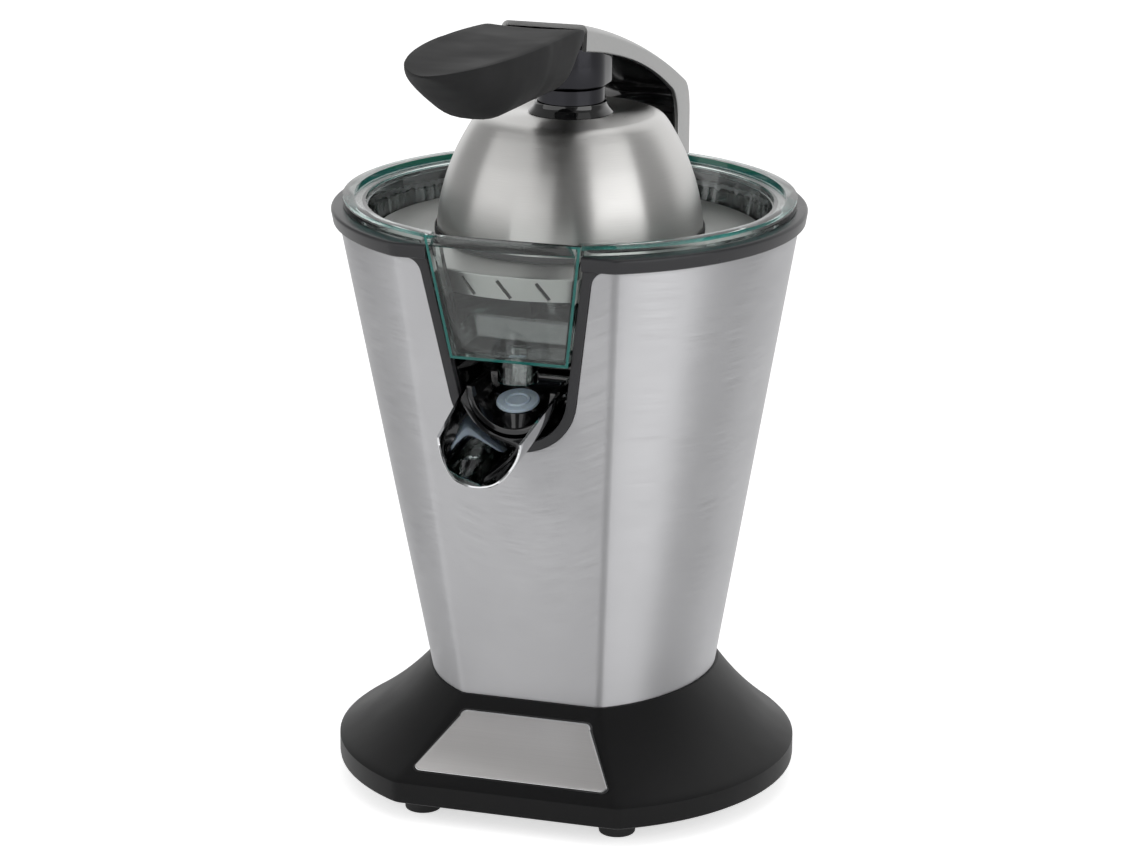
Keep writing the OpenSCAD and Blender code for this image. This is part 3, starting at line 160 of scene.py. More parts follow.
@dataclass(frozen=True)
class Finish:
    """What every finish shares: a name, a colour and a way to build itself."""

    name: str
    colour: str

    def shade(self, tree: Tree, shader: Node, place: Socket) -> Relief:
        """Adds the finish's own nodes.

        Args:
            tree: The material's tree.
            shader: Its Principled BSDF.
            place: Object coordinates.

        Returns:
            Pattern of its relief from 0 to 1 and the depth in millimetres that 1 stands for, if any.
        """

    def material(self) -> Material:
        """The finish as a material, made once.

        Returns:
            The material.
        """
        known = bpy.data.materials.get(self.name)
        if known:
            return known
        mat = bpy.data.materials.new(self.name)
        mat.use_nodes = True
        tree = mat.node_tree
        tree.nodes.clear()
        shader = add(tree, "ShaderNodeBsdfPrincipled", {"Base Color": linear(self.colour)})
        add(tree, "ShaderNodeOutputMaterial", {"Surface": shader})
        relief = self.shade(tree, shader, add(tree, "ShaderNodeTexCoord").outputs["Object"])
        if relief:
            shape = {"Height": relief[0], "Distance": relief[1] * MM, "Strength": 1.0}
            wire(tree, shader, {"Normal": add(tree, "ShaderNodeBump", shape)})
        return mat


def spread(source: Node | Socket, low: float, high: float) -> dict:
    """Inputs that map a pattern's middle range, 0.3 to 0.7, onto low to high."""
    return {0: source, 1: 0.3, 2: 0.7, 3: low, 4: high}


@dataclass(frozen=True)
class BrushedSteel(Finish):
    """Stainless sheet rubbed with an abrasive belt: fine lines that draw highlights out across them."""

    roughness: float = 0.3
    line_mm: float = 0.35
    stretch: float = 0.7
    contrast: float = 0.06
    brushed: Axis = Axis.ROUND
    across_lines: float = 0.25
    fade_mm: float = 60
    cloud_mm: float = 45
    depth_mm: float = 0.004

    def shade(self, tree: Tree, shader: Node, place: Socket) -> Relief:
        """Adds lines along the brushing, in colour, roughness and relief, and the drawn-out highlight.

        Args:
            tree: The material's tree.
            shader: Its Principled BSDF.
            place: Object coordinates.

        Returns:
            The relief.
        """
        node = partial(add, tree)
        vector, ranged = "ShaderNodeVectorMath", "ShaderNodeMapRange"
        from_axis = node(vector, {0: place, 1: (0, AXIS_Y * MM, 0)}, operation="SUBTRACT")
        fine, slow = per_metre(self.line_mm), per_metre(self.fade_mm)
        if self.brushed is Axis.ROUND:
            x, y, z = node("ShaderNodeSeparateXYZ", {0: from_axis}).outputs
            flat = node("ShaderNodeCombineXYZ", {0: x, 1: y})
            radius = node(vector, {0: flat}, operation="LENGTH").outputs["Value"]
            across = node("ShaderNodeMath", {0: z, 1: radius}, operation="SUBTRACT")
            along = node("ShaderNodeMath", {0: y, 1: x}, operation="ARCTAN2")
            grain, scale = node("ShaderNodeCombineXYZ", {0: across, 1: along}), (fine, 4.0, 1.0)
            tangent = node(vector, {0: (0, 0, 1), 1: flat}, operation="CROSS_PRODUCT")
        else:
            grain, scale = from_axis, (slow, fine, fine)
            tangent = node("ShaderNodeCombineXYZ", {0: 1.0})
        stretched = node(vector, {0: grain, 1: scale}, operation="MULTIPLY")
        lines = node("ShaderNodeTexNoise", {"Vector": stretched, "Scale": 1.0, "Detail": 3.0})
        wide = per_metre(self.cloud_mm)
        clouds = node("ShaderNodeTexNoise", {"Vector": place, "Scale": wide, "Detail": 2.0})
        tone = node(ranged, spread(lines, 1 - self.contrast, 1.0))
        tinted = {0: 1.0, 6: linear(self.colour), 7: tone}
        colour = node("ShaderNodeMix", tinted, data_type="RGBA", blend_type="MULTIPLY")
        drift = node(ranged, spread(clouds, -0.02, 0.02))
        scratched = node(ranged, spread(lines, self.roughness * 0.85, self.roughness * 1.15))
        world = node(
            "ShaderNodeVectorTransform",
            {0: tangent},
            vector_type="VECTOR",
            convert_from="OBJECT",
            convert_to="WORLD",
        )
        surface = {
            "Base Color": colour.outputs[2],
            "Roughness": node("ShaderNodeMath", {0: scratched, 1: drift}, operation="ADD"),
            "Tangent": node(vector, {0: world}, operation="NORMALIZE"),
            "Metallic": 1.0,
            "Anisotropic": self.stretch,
            "Anisotropic Rotation": self.across_lines,
        }
        wire(tree, shader, surface)
        return lines, self.depth_mm


@dataclass(frozen=True)
class BrightMetal(Finish):
    """Plated or polished metal: almost a mirror, with the faint waviness of a pressed part."""

    roughness: float = 0.08
    wave_mm: float = 0.02

    def shade(self, tree: Tree, shader: Node, place: Socket) -> Relief:
        """Adds slow waves and a little haze.

        Args:
            tree: The material's tree.
            shader: Its Principled BSDF.
            place: Object coordinates.

        Returns:
            The relief.
        """
        wave = add(tree, "ShaderNodeTexNoise", {"Vector": place, "Scale": per_metre(18), "Detail": 1.0})
        haze = add(tree, "ShaderNodeTexNoise", {"Vector": place, "Scale": per_metre(6), "Detail": 4.0})
        rough = spread(haze, self.roughness * 0.7, self.roughness * 1.3)
        wire(tree, shader, {"Roughness": add(tree, "ShaderNodeMapRange", rough), "Metallic": 1.0})
        return wave, self.wave_mm


@dataclass(frozen=True)
class SatinLacquer(Finish):
    """Silver lacquer on a moulding: metal flakes under a soft clear coat."""

    roughness: float = 0.32
    flake_mm: float = 0.5
    flake_depth_mm: float = 0.003

    def shade(self, tree: Tree, shader: Node, place: Socket) -> Relief:
        """Adds flakes and a thin coat.

        Args:
            tree: The material's tree.
            shader: Its Principled BSDF.
            place: Object coordinates.

        Returns:
            The relief.
        """
        flakes = add(tree, "ShaderNodeTexVoronoi", {"Vector": place, "Scale": per_metre(self.flake_mm)})
        flake = flakes.outputs["Distance"]
        rough = add(tree, "ShaderNodeMapRange", spread(flake, self.roughness * 0.9, self.roughness * 1.15))
        wire(tree, shader, {"Roughness": rough, "Metallic": 0.85})
        wire(tree, shader, {"Coat Weight": 0.25, "Coat Roughness": 0.15})
        return flake, self.flake_depth_mm


@dataclass(frozen=True)
class MouldedPlastic(Finish):
    """Injection-moulded ABS or polypropylene: from piano gloss to a fine spark-eroded grain."""

    roughness: float = 0.4
    grain_mm: float = 0.5
    depth_mm: float = 0.008
    coat: float = 0.0
    gloss: float = 0.5

    def shade(self, tree: Tree, shader: Node, place: Socket) -> Relief:
        """Adds mould grain, slow gloss changes and an optional gloss coat.

        Args:
            tree: The material's tree.
            shader: Its Principled BSDF.
            place: Object coordinates.

        Returns:
            The relief.
        """
        fine = per_metre(self.grain_mm)
        grain = add(tree, "ShaderNodeTexNoise", {"Vector": place, "Scale": fine, "Detail": 2.0})
        cloud = add(tree, "ShaderNodeTexNoise", {"Vector": place, "Scale": per_metre(30), "Detail": 2.0})
        rough = spread(cloud, self.roughness * 0.9, self.roughness * 1.1)
        surface = {
            "Roughness": add(tree, "ShaderNodeMapRange", rough),
            "IOR": 1.5,
            "Specular IOR Level": self.gloss,
            "Coat Weight": self.coat,
            "Coat Roughness": 0.03,
        }
        wire(tree, shader, surface)
        return grain, self.depth_mm


@dataclass(frozen=True)
class ClearPlastic(Finish):
    """Clear styrene copolymer: colourless through a wall, green where light runs along it to an edge."""

    tint: str = "#38E0C8"
    density: float = 7.0
    roughness: float = 0.005
    clearness: float = 1.0
    flow_mm: float = 0.004

    def shade(self, tree: Tree, shader: Node, place: Socket) -> Relief:
        """Adds transmission, flow waves and the absorption that colours the edges.

        Args:
            tree: The material's tree.
            shader: Its Principled BSDF.
            place: Object coordinates.

        Returns:
            The relief.
        """
        flow = add(tree, "ShaderNodeTexNoise", {"Vector": place, "Scale": per_metre(25), "Detail": 1.0})
        rough = add(tree, "ShaderNodeMapRange", spread(flow, self.roughness, self.roughness * 2))
        wire(tree, shader, {"Roughness": rough, "Transmission Weight": self.clearness, "IOR": 1.46})
        within = {"Color": linear(self.tint), "Density": self.density}
        wire(tree, end_of(tree), {"Volume": add(tree, "ShaderNodeVolumeAbsorption", within)})
        return flow, self.flow_mm


@dataclass(frozen=True)
class WhiteSweep(Finish):
    """Matt white studio sweep: white to the eye and in metal and glass, with the press's shadow on it."""

    for_eye: float = 0.62
    in_metal: float = 0.25

    def shade(self, tree: Tree, shader: Node, place: Socket) -> Relief:
        """Adds a glow that only camera, glossy and transmission rays meet.

        Args:
            tree: The material's tree.
            shader: Its Principled BSDF.
            place: Object coordinates; not used.

        Returns:
            Nothing, as it has no relief.
        """
        wire(tree, shader, {"Roughness": 0.9, "Specular IOR Level": 0.1})
        path = add(tree, "ShaderNodeLightPath").outputs
        node, maths = partial(add, tree), "ShaderNodeMath"
        seen = node(maths, {0: path["Is Camera Ray"], 1: self.for_eye}, operation="MULTIPLY")
        other = node(maths, {0: path["Is Glossy Ray"], 1: path["Is Transmission Ray"]}, operation="MAXIMUM")
        glow = node(maths, {0: other, 1: self.in_metal, 2: seen}, operation="MULTIPLY_ADD")
        light = add(tree, "ShaderNodeEmission", {"Color": linear("#FFFFFF"), "Strength": glow})
        wire(tree, end_of(tree), {"Surface": add(tree, "ShaderNodeAddShader", {0: shader, 1: light})})


@dataclass(frozen=True)
class Silicone(Finish):
    """Translucent silicone: light soaks in and comes out milky."""

    roughness: float = 0.3
    bloom_mm: float = 0.01

    def shade(self, tree: Tree, shader: Node, place: Socket) -> Relief:
        """Adds depth below the surface and a dusty bloom.

        Args:
            tree: The material's tree.
            shader: Its Principled BSDF.
            place: Object coordinates.

        Returns:
            The relief.
        """
        bloom = add(tree, "ShaderNodeTexNoise", {"Vector": place, "Scale": per_metre(3), "Detail": 3.0})
        rough = spread(bloom, self.roughness, self.roughness + 0.1)
        surface = {
            "Roughness": add(tree, "ShaderNodeMapRange", rough),
            "Subsurface Weight": 0.6,
            "Subsurface Radius": (0.004, 0.004, 0.005),
            "Transmission Weight": 0.35,
        }
        wire(tree, shader, surface)
        return bloom, self.bloom_mm


BODY_STEEL = BrushedSteel("brushed_stainless_sheet", "#CDCDCF", 0.55, stretch=0.93)
DOME_STEEL = BrushedSteel("brushed_stainless_pressing", "#D0CFCD", 0.34, 0.3, 0.9)
# Painted shade: stainless like the dome's, set darker to stand for the shade the strainer sits in inside the
# bowl.
STRAINER_STEEL_PAINTED_SHADE = BrushedSteel("strainer_stainless_painted_shade", "#A3A2A0", 0.36, 0.4, 0.85)
BADGE_STEEL = BrushedSteel("brushed_badge_plate", "#D4D2D1", 0.36, stretch=0.5, brushed=Axis.ALONG_X)
SPOUT_CHROME = BrightMetal("chrome_plated_spout", "#D9DADC", 0.06)
BRIGHT_EDGE = BrightMetal("diamond_cut_edge", "#E3E3E4", 0.12)
DARK_CHROME = BrightMetal("smoked_chrome", "#313134", 0.1)
FRAME_STEEL = BrightMetal("bright_machined_steel", "#B8BABD", 0.2)
BRONZE = BrightMetal("sintered_bronze", "#B08A4E", 0.35)
BRASS = BrightMetal("machined_brass", "#C2A256", 0.22)
COPPER = BrightMetal("enamelled_copper", "#A8643A", 0.3)
MOTOR_STEEL = BrightMetal("zinc_plated_can", "#9A9CA0", 0.3)
ARM_SILVER = SatinLacquer("silver_lacquered_moulding", "#A2A2A1")
BASE_BLACK = MouldedPlastic("satin_black_abs", "#0B0B0C", 0.42, 0.6, 0.006, gloss=0.2)
GRIP_BLACK = MouldedPlastic("soft_touch_black", "#141415", 0.65, 0.45, 0.01, gloss=0.2)
GLOSS_BLACK = MouldedPlastic("piano_black_abs", "#0A0A0B", 0.1, 8, 0.004, coat=0.5)
TRIM_GREY = MouldedPlastic("graphite_moulding", "#2B2B2D", 0.3, 1.0, 0.003, gloss=0.3)
LINER_BLACK = MouldedPlastic("black_polypropylene", "#161617", 0.35)
GEARBOX_PLASTIC = MouldedPlastic("glass_filled_nylon", "#2C2C2F", 0.5)
ACETAL = MouldedPlastic("natural_acetal", "#E6E2D3", 0.35)
FERRITE = MouldedPlastic("sintered_ferrite", "#2B2B2D", 0.6)
FOOT_RUBBER = MouldedPlastic("nitrile_rubber", "#131314", 0.6, 0.7, 0.02)
CLEAR_BOWL = ClearPlastic("clear_styrene_copolymer", "#FAFDFC")
# Painted glow: the plastic's own green on the wall's cut edges, made partly opaque teal so that it shines as
# light carried along the wall would.
CLEAR_EDGE_PAINTED_GLOW = ClearPlastic("clear_styrene_edge_painted_glow", "#1B8D84", clearness=0.6)
PLUG_SILICONE = Silicone("translucent_silicone", "#C9D8E4")

SLOT_FINISH: dict[str, Finish] = {
    "base_black": BASE_BLACK,
    "foot_rubber": FOOT_RUBBER,
    "badge_steel": BADGE_STEEL,
    "body_steel": BODY_STEEL,
    "trim_grey": TRIM_GREY,
    "gloss_black": GLOSS_BLACK,
    "frame_steel": FRAME_STEEL,
    "gearbox_plastic": GEARBOX_PLASTIC,
    "gear_plastic": ACETAL,
    "bush_bronze": BRONZE,
    "motor_steel": MOTOR_STEEL,
    "magnet_ferrite": FERRITE,
    "copper_winding": COPPER,
    "pinion_brass": BRASS,
    "clear_bowl": CLEAR_BOWL,
    "strainer_steel": STRAINER_STEEL_PAINTED_SHADE,
    "reamer_steel": DOME_STEEL,
    "dome_steel": DOME_STEEL,
    "liner_black": LINER_BLACK,
    "arm_silver": ARM_SILVER,
    "grip_black": GRIP_BLACK,
    "spout_chrome": SPOUT_CHROME,
    "plug_silicone": PLUG_SILICONE,
}

# ---- meshes -------------------------------------------------------------------------------------


def new_piece(name: str, points: Sequence[Point], faces: Sequence[Sequence[int]], finish: Finish) -> Piece:
    """Makes a smooth-shaded object from millimetre points.

    Args:
        name: Name of the piece.
        points: Corners in millimetres, in the press's frame.
        faces: Corner numbers of each face.
        finish: Its finish.

    Returns:
        The object, with its normals outward.
    """
    mesh = bpy.data.meshes.new(name)
    mesh.from_pydata([tuple(v * MM for v in p) for p in points], [], faces)
    piece = bpy.data.objects.new(name, mesh)
    bpy.context.scene.collection.objects.link(piece)
    mesh.materials.append(finish.material())
    tidy_mesh(piece)
    return piece


def tidy_mesh(piece: Piece) -> None:
    """Merges doubles, turns faces outward and shades them smooth up to an angle.

    Args:
        piece: The object.
    """
    soup = bmesh.new()
    soup.from_mesh(piece.data)
    bmesh.ops.remove_doubles(soup, verts=soup.verts, dist=MERGE_MM * MM)
    bmesh.ops.recalc_face_normals(soup, faces=soup.faces)
    soup.to_mesh(piece.data)
    soup.free()
    smooth(piece.data, SHARP_DEG)


def bake_modifiers(piece: Piece) -> None:
    """Replaces an object's mesh by its evaluated mesh and drops the modifiers.

    Args:
        piece: The object.
    """
    graph = bpy.context.evaluated_depsgraph_get()
    mesh = bpy.data.meshes.new_from_object(piece.evaluated_get(graph))
    piece.modifiers.clear()
    piece.data = mesh


def smooth(mesh: bpy.types.Mesh, sharp_deg: float) -> None:
    """Shades a mesh smooth up to an angle."""
    mesh.polygons.foreach_set("use_smooth", [True] * len(mesh.polygons))
    mesh.set_sharp_from_angle(angle=math.radians(sharp_deg))


def round_edges(piece: Piece, radius_mm: float, segments: int, angle_deg: float, slot: int = -1) -> None:
    """Rounds the edges that are bent more than an angle.

    Args:
        piece: The object.
        radius_mm: Width of the rounding.
        segments: Steps of the rounding.
        angle_deg: Smallest bend that is rounded.
        slot: Material slot of the rounding, or -1 for the faces' own.
    """
    edge = piece.modifiers.new("rounded_edges", "BEVEL")
    edge.material = slot
    edge.width = radius_mm * MM
    edge.segments = segments
    edge.limit_method = "ANGLE"
    edge.angle_limit = math.radians(angle_deg)
    bake_modifiers(piece)
    smooth(piece.data, ROUNDED_SHARP_DEG)


def combine(piece: Piece, tool: Piece, how: str) -> None:
    """Cuts or joins a piece with another closed mesh, which is then deleted.

    Args:
        piece: The object that stays.
        tool: The cutter or addition.
        how: DIFFERENCE, UNION or INTERSECT.
    """
    step = piece.modifiers.new("combine", "BOOLEAN")
    step.object = tool
    step.operation = how
    step.solver = "EXACT"
    bake_modifiers(piece)
    bpy.data.objects.remove(tool)
    tidy_mesh(piece)


def loop_faces(rings: int, per_ring: int, closed: bool) -> list[tuple[int, ...]]:
    """Quads between rings of equal length.

    Args:
        rings: How many rings.
        per_ring: Points in each.
        closed: True joins the last ring to the first.

    Returns:
        The quads.
    """
    faces: list[tuple[int, ...]] = []
    for j in range(rings if closed else rings - 1):
        k = (j + 1) % rings
        for i in range(per_ring):
            n = (i + 1) % per_ring
            faces.append((j * per_ring + i, j * per_ring + n, k * per_ring + n, k * per_ring + i))
    return faces


def lofted(name: str, rings: Sequence[Ring], finish: Finish, closed: bool = False) -> Piece:
    """Skin through rings of equal length, capped at both ends or closed into a hoop.

    Args:
        name: Name of the piece.
        rings: Rings in millimetres.
        finish: Its finish.
        closed: True for a hoop.

    Returns:
        The piece.
    """
    per_ring = len(rings[0])
    faces: list[Sequence[int]] = list(loop_faces(len(rings), per_ring, closed))
    if not closed:
        last = (len(rings) - 1) * per_ring
        faces += [list(range(per_ring - 1, -1, -1)), [last + i for i in range(per_ring)]]
    return new_piece(name, [p for r in rings for p in r], faces, finish)


def turned(name: str, profile: Outline, finish: Finish, y: float, steps: int = 128) -> Piece:
    """Lathe-turned piece about the vertical through (0, y).

    Args:
        name: Name of the piece.
        profile: Closed outline as radius and height, in millimetres.
        finish: Its finish.
        y: Where the axis stands.
        steps: Facets round the axis.

    Returns:
        The piece.
    """
    rings = []
    for r, z in profile:
        turn = (math.tau * i / steps for i in range(steps))
        rings.append([(r * math.cos(a), y + r * math.sin(a), z) for a in turn])
    return lofted(name, rings, finish, closed=True)


def prism(name: str, outline: Sequence[Point], push: Vector, finish: Finish) -> Piece:
    """Solid between a flat outline and the same outline moved by push."""
    far = [tuple(Vector(p) + push) for p in outline]
    return lofted(name, [list(outline), far], finish)


def arc(centre: tuple[float, float], radius: float, start: float, end: float, steps: int) -> Outline:
    """Points on an arc, in degrees, ends included.

    Args:
        centre: Its middle.
        radius: Its radius.
        start: First angle.
        end: Last angle.
        steps: Number of chords.

    Returns:
        The points.
    """
    cx, cy = centre
    turn = [math.radians(start + (end - start) * i / steps) for i in range(steps + 1)]
    return [(cx + radius * math.cos(t), cy + radius * math.sin(t)) for t in turn]


def geometry_tree(name: str, inputs: dict[str, str]) -> Tree:
    """Empty geometry tree with its sockets.

    Args:
        name: Name of the tree.
        inputs: Name of each input to its kind, such as Float.

    Returns:
        The tree, with one geometry output.
    """
    tree = bpy.data.node_groups.new(name, "GeometryNodeTree")
    tree.interface.new_socket("Geometry", in_out="OUTPUT", socket_type="NodeSocketGeometry")
    for label, kind in inputs.items():
        tree.interface.new_socket(label, in_out="INPUT", socket_type="NodeSocket" + kind)
    return tree


def finish_tree(tree: Tree, geometry: Node, material: Socket) -> None:
    """Dresses a geometry tree's result and leads it out."""
    dressed = add(tree, "GeometryNodeSetMaterial", {"Geometry": geometry, "Material": material})
    add(tree, "NodeGroupOutput", {0: dressed})


def run_tree(holder: Piece, tree: Tree, values: dict[str, object]) -> None:
    """Runs a geometry tree on an object and keeps the result as its plain mesh.

    Args:
        holder: The object that gets the mesh.
        tree: The geometry tree.
        values: Named input to value.
    """
    step = holder.modifiers.new(tree.name, "NODES")
    step.node_group = tree
    for item in tree.interface.items_tree:
        if item.in_out == "INPUT" and item.name in values:
            step[item.identifier] = values[item.name]
    bake_modifiers(holder)
    tidy_mesh(holder)


def bezier(a: Vector, b: Vector, c: Vector, t: float) -> Vector:
    """Point on a quadratic curve."""
    return (1 - t) ** 2 * a + 2 * t * (1 - t) * b + t * t * c


def refined(
    node: str, edge_mm: float, finish: Finish, sharp_deg: float = 30, rim: Finish | None = None
) -> Piece:
    """Copy of a CAD node with rounded edges, which takes the node's place.

    Args:
        node: The CAD node.
        edge_mm: Radius put on its edges.
        finish: Its finish.
        sharp_deg: Smallest bend that counts as an edge.
        rim: Finish of the rounding, where it differs.

    Returns:
        The piece.
    """
    mesh = NODES[node].data.copy()
    mesh.materials.clear()
    mesh.materials.append(finish.material())
    if rim:
        mesh.materials.append(rim.material())
    piece = bpy.data.objects.new(node + "_dressed", mesh)
    bpy.context.scene.collection.objects.link(piece)
    soup = bmesh.new()
    soup.from_mesh(mesh)
    bmesh.ops.remove_doubles(soup, verts=soup.verts, dist=CAD_MERGE_MM * MM)
    flat = math.radians(FLAT_DEG)
    bmesh.ops.dissolve_limit(
        soup, angle_limit=flat, verts=soup.verts, edges=soup.edges, delimit={"NORMAL"}
    )
    soup.to_mesh(mesh)
    soup.free()
    if edge_mm:
        round_edges(piece, edge_mm, 2, sharp_deg, 1 if rim else -1)
    else:
        smooth(mesh, sharp_deg)
    return piece


def seat(piece: Piece, body: str, slot: str, *nodes: str) -> None:
    """Rides a piece on its body and lets it stand for CAD nodes.

    Args:
        piece: The piece.
        body: Body it moves with.
        slot: Material slot of the record; not used.
        *nodes: CAD nodes it takes the place of.
    """
    if nodes:
        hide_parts(*nodes)
    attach(piece, body)
    LOG.info("%s: %d faces on %s", piece.name, len(piece.data.polygons), body)


# ---- sections of the body and the base ----------------------------------------------------------


FOLD = 2.5  # length of the rounding on each side of the flat front's corners
FOLD_STEPS = 5
ROUND_STEPS = 168


@dataclass(frozen=True)
class Section:
    """Horizontal section: a circle at the back, an ellipse at the front, cut by a flat front."""

    half_width: float
    front_length: float
    set_back: float
    flat: float

    def toward(self, other: "Section", t: float) -> "Section":
        """The section a share t of the way to another."""
        return Section(*(a + (b - a) * t for a, b in zip(astuple(self), astuple(other))))

    def point(self, angle: float, inset: float) -> Vector:
        """Point of the curved part at an angle in radians.

        Args:
            angle: Angle round the section.
            inset: How far it is moved inwards.

        Returns:
            The point.
        """
        across, along = math.cos(angle), math.sin(angle)
        length = self.half_width if along > 0 else self.front_length
        return Vector(((self.half_width - inset) * across, self.set_back + (length - inset) * along))

    def ring(self, inset: float, z: float) -> Ring:
        """The section as points at a height, with the flat front's corners rounded.

        Args:
            inset: How far it is moved inwards.
            z: Height.

        Returns:
            The ring, counter-clockwise from above.
        """
        corner = math.asin((self.flat - inset + self.set_back) / (self.front_length - inset))
        trim = FOLD / self.front_length
        sweep = math.pi + 2 * corner - 2 * trim
        first = -corner + trim
        points = [self.point(first + sweep * i / ROUND_STEPS, inset) for i in range(ROUND_STEPS + 1)]
        tip = self.point(math.pi + corner, inset)
        near, flat = self.point(math.pi + corner - trim, inset), tip + Vector((FOLD, 0))
        points += [bezier(near, tip, flat, i / FOLD_STEPS) for i in range(1, FOLD_STEPS + 1)]
        tip = self.point(-corner, inset)
        near, flat = self.point(first, inset), tip - Vector((FOLD, 0))
        points += [bezier(flat, tip, near, i / FOLD_STEPS) for i in range(FOLD_STEPS)]
        return [(p.x, p.y + AXIS_Y, z) for p in points]


LOW = Section(63.4, 75.2, 13.0, 52.5)
TOP = Section(100.3, 103.0, 0.0, 90.5)
SKIRT = Section(102.4, 102.4, 0.0, 89.0)


def levels(node: str) -> tuple[float, float]:
    """Lowest and highest level of a CAD node in millimetres."""
    low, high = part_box(node)
    return low.z / MM, high.z / MM


BODY_LOW, BODY_TOP = levels("body_shell")


def body_section(z: float) -> Section:
    """The body's section at a height."""
    return LOW.toward(TOP, (z - BODY_LOW) / (BODY_TOP - BODY_LOW))


def body_hoop(name: str, profile: Outline, finish: Finish) -> Piece:
    """Hoop that follows the body, from a closed profile of inset and height."""
    rings = [body_section(z).ring(inset, z) for inset, z in profile]
    return lofted(name, rings, finish, closed=True)


@dataclass
class FrontOpening:
    """The rounded cut-out in the flat front."""

    foot_radius: float = 28.6
    foot_z: float = 198.5
    top_half: float = 38.5
    flare: float = 7.0

    def side(self, inset: float) -> Outline:
        """Right half of the outline, from its foot to the upper edge, as x and z.

        Args:
            inset: How far it is moved inwards.

        Returns:
            The points.
        """
        r = self.foot_radius - inset
        top = Vector((self.top_half - inset, BODY_TOP))
        to_top = top - Vector((0, self.foot_z))
        lean = math.degrees(math.atan2(to_top.y, to_top.x) - math.acos(r / to_top.length))
        return arc((0, self.foot_z), r, -90, lean, 24) + [(top.x, top.y)]

    def outline(self, inset: float, flare: float, rise: float) -> Outline:
        """Closed outline as x and z.

        Args:
            inset: How far it is moved inwards.
            flare: Radius of the rounded shoulders at the upper edge.
            rise: How far above the body it is drawn.

        Returns:
            Points from the upper left, round the foot, to the upper right.
        """
        right = self.side(inset)
        if flare:
            (ax, az), (bx, bz) = right[-2], right[-1]
            lean = Vector((bx - ax, bz - az)).normalized()
            tip = Vector((bx, bz))
            shoulder = tip - lean * flare, tip, tip + Vector((flare, 0))
            right = right[:-1] + [tuple(bezier(*shoulder, i / 8)) for i in range(9)]
        right.append((right[-1][0], BODY_TOP + rise))
        return [(-x, z) for x, z in reversed(right[1:])] + right

    def cutter(self, inset: float, flare: float, near: float, far: float) -> Piece:
        """Prism of the outline between two distances ahead of the axis."""
        shape = [(x, AXIS_Y - far, z) for x, z in self.outline(inset, flare, 20)]
        return prism("opening_tool", shape, Vector((0, far - near, 0)), TRIM_GREY)


OPENING = FrontOpening()


# ---- base ---------------------------------------------------------------------------------------


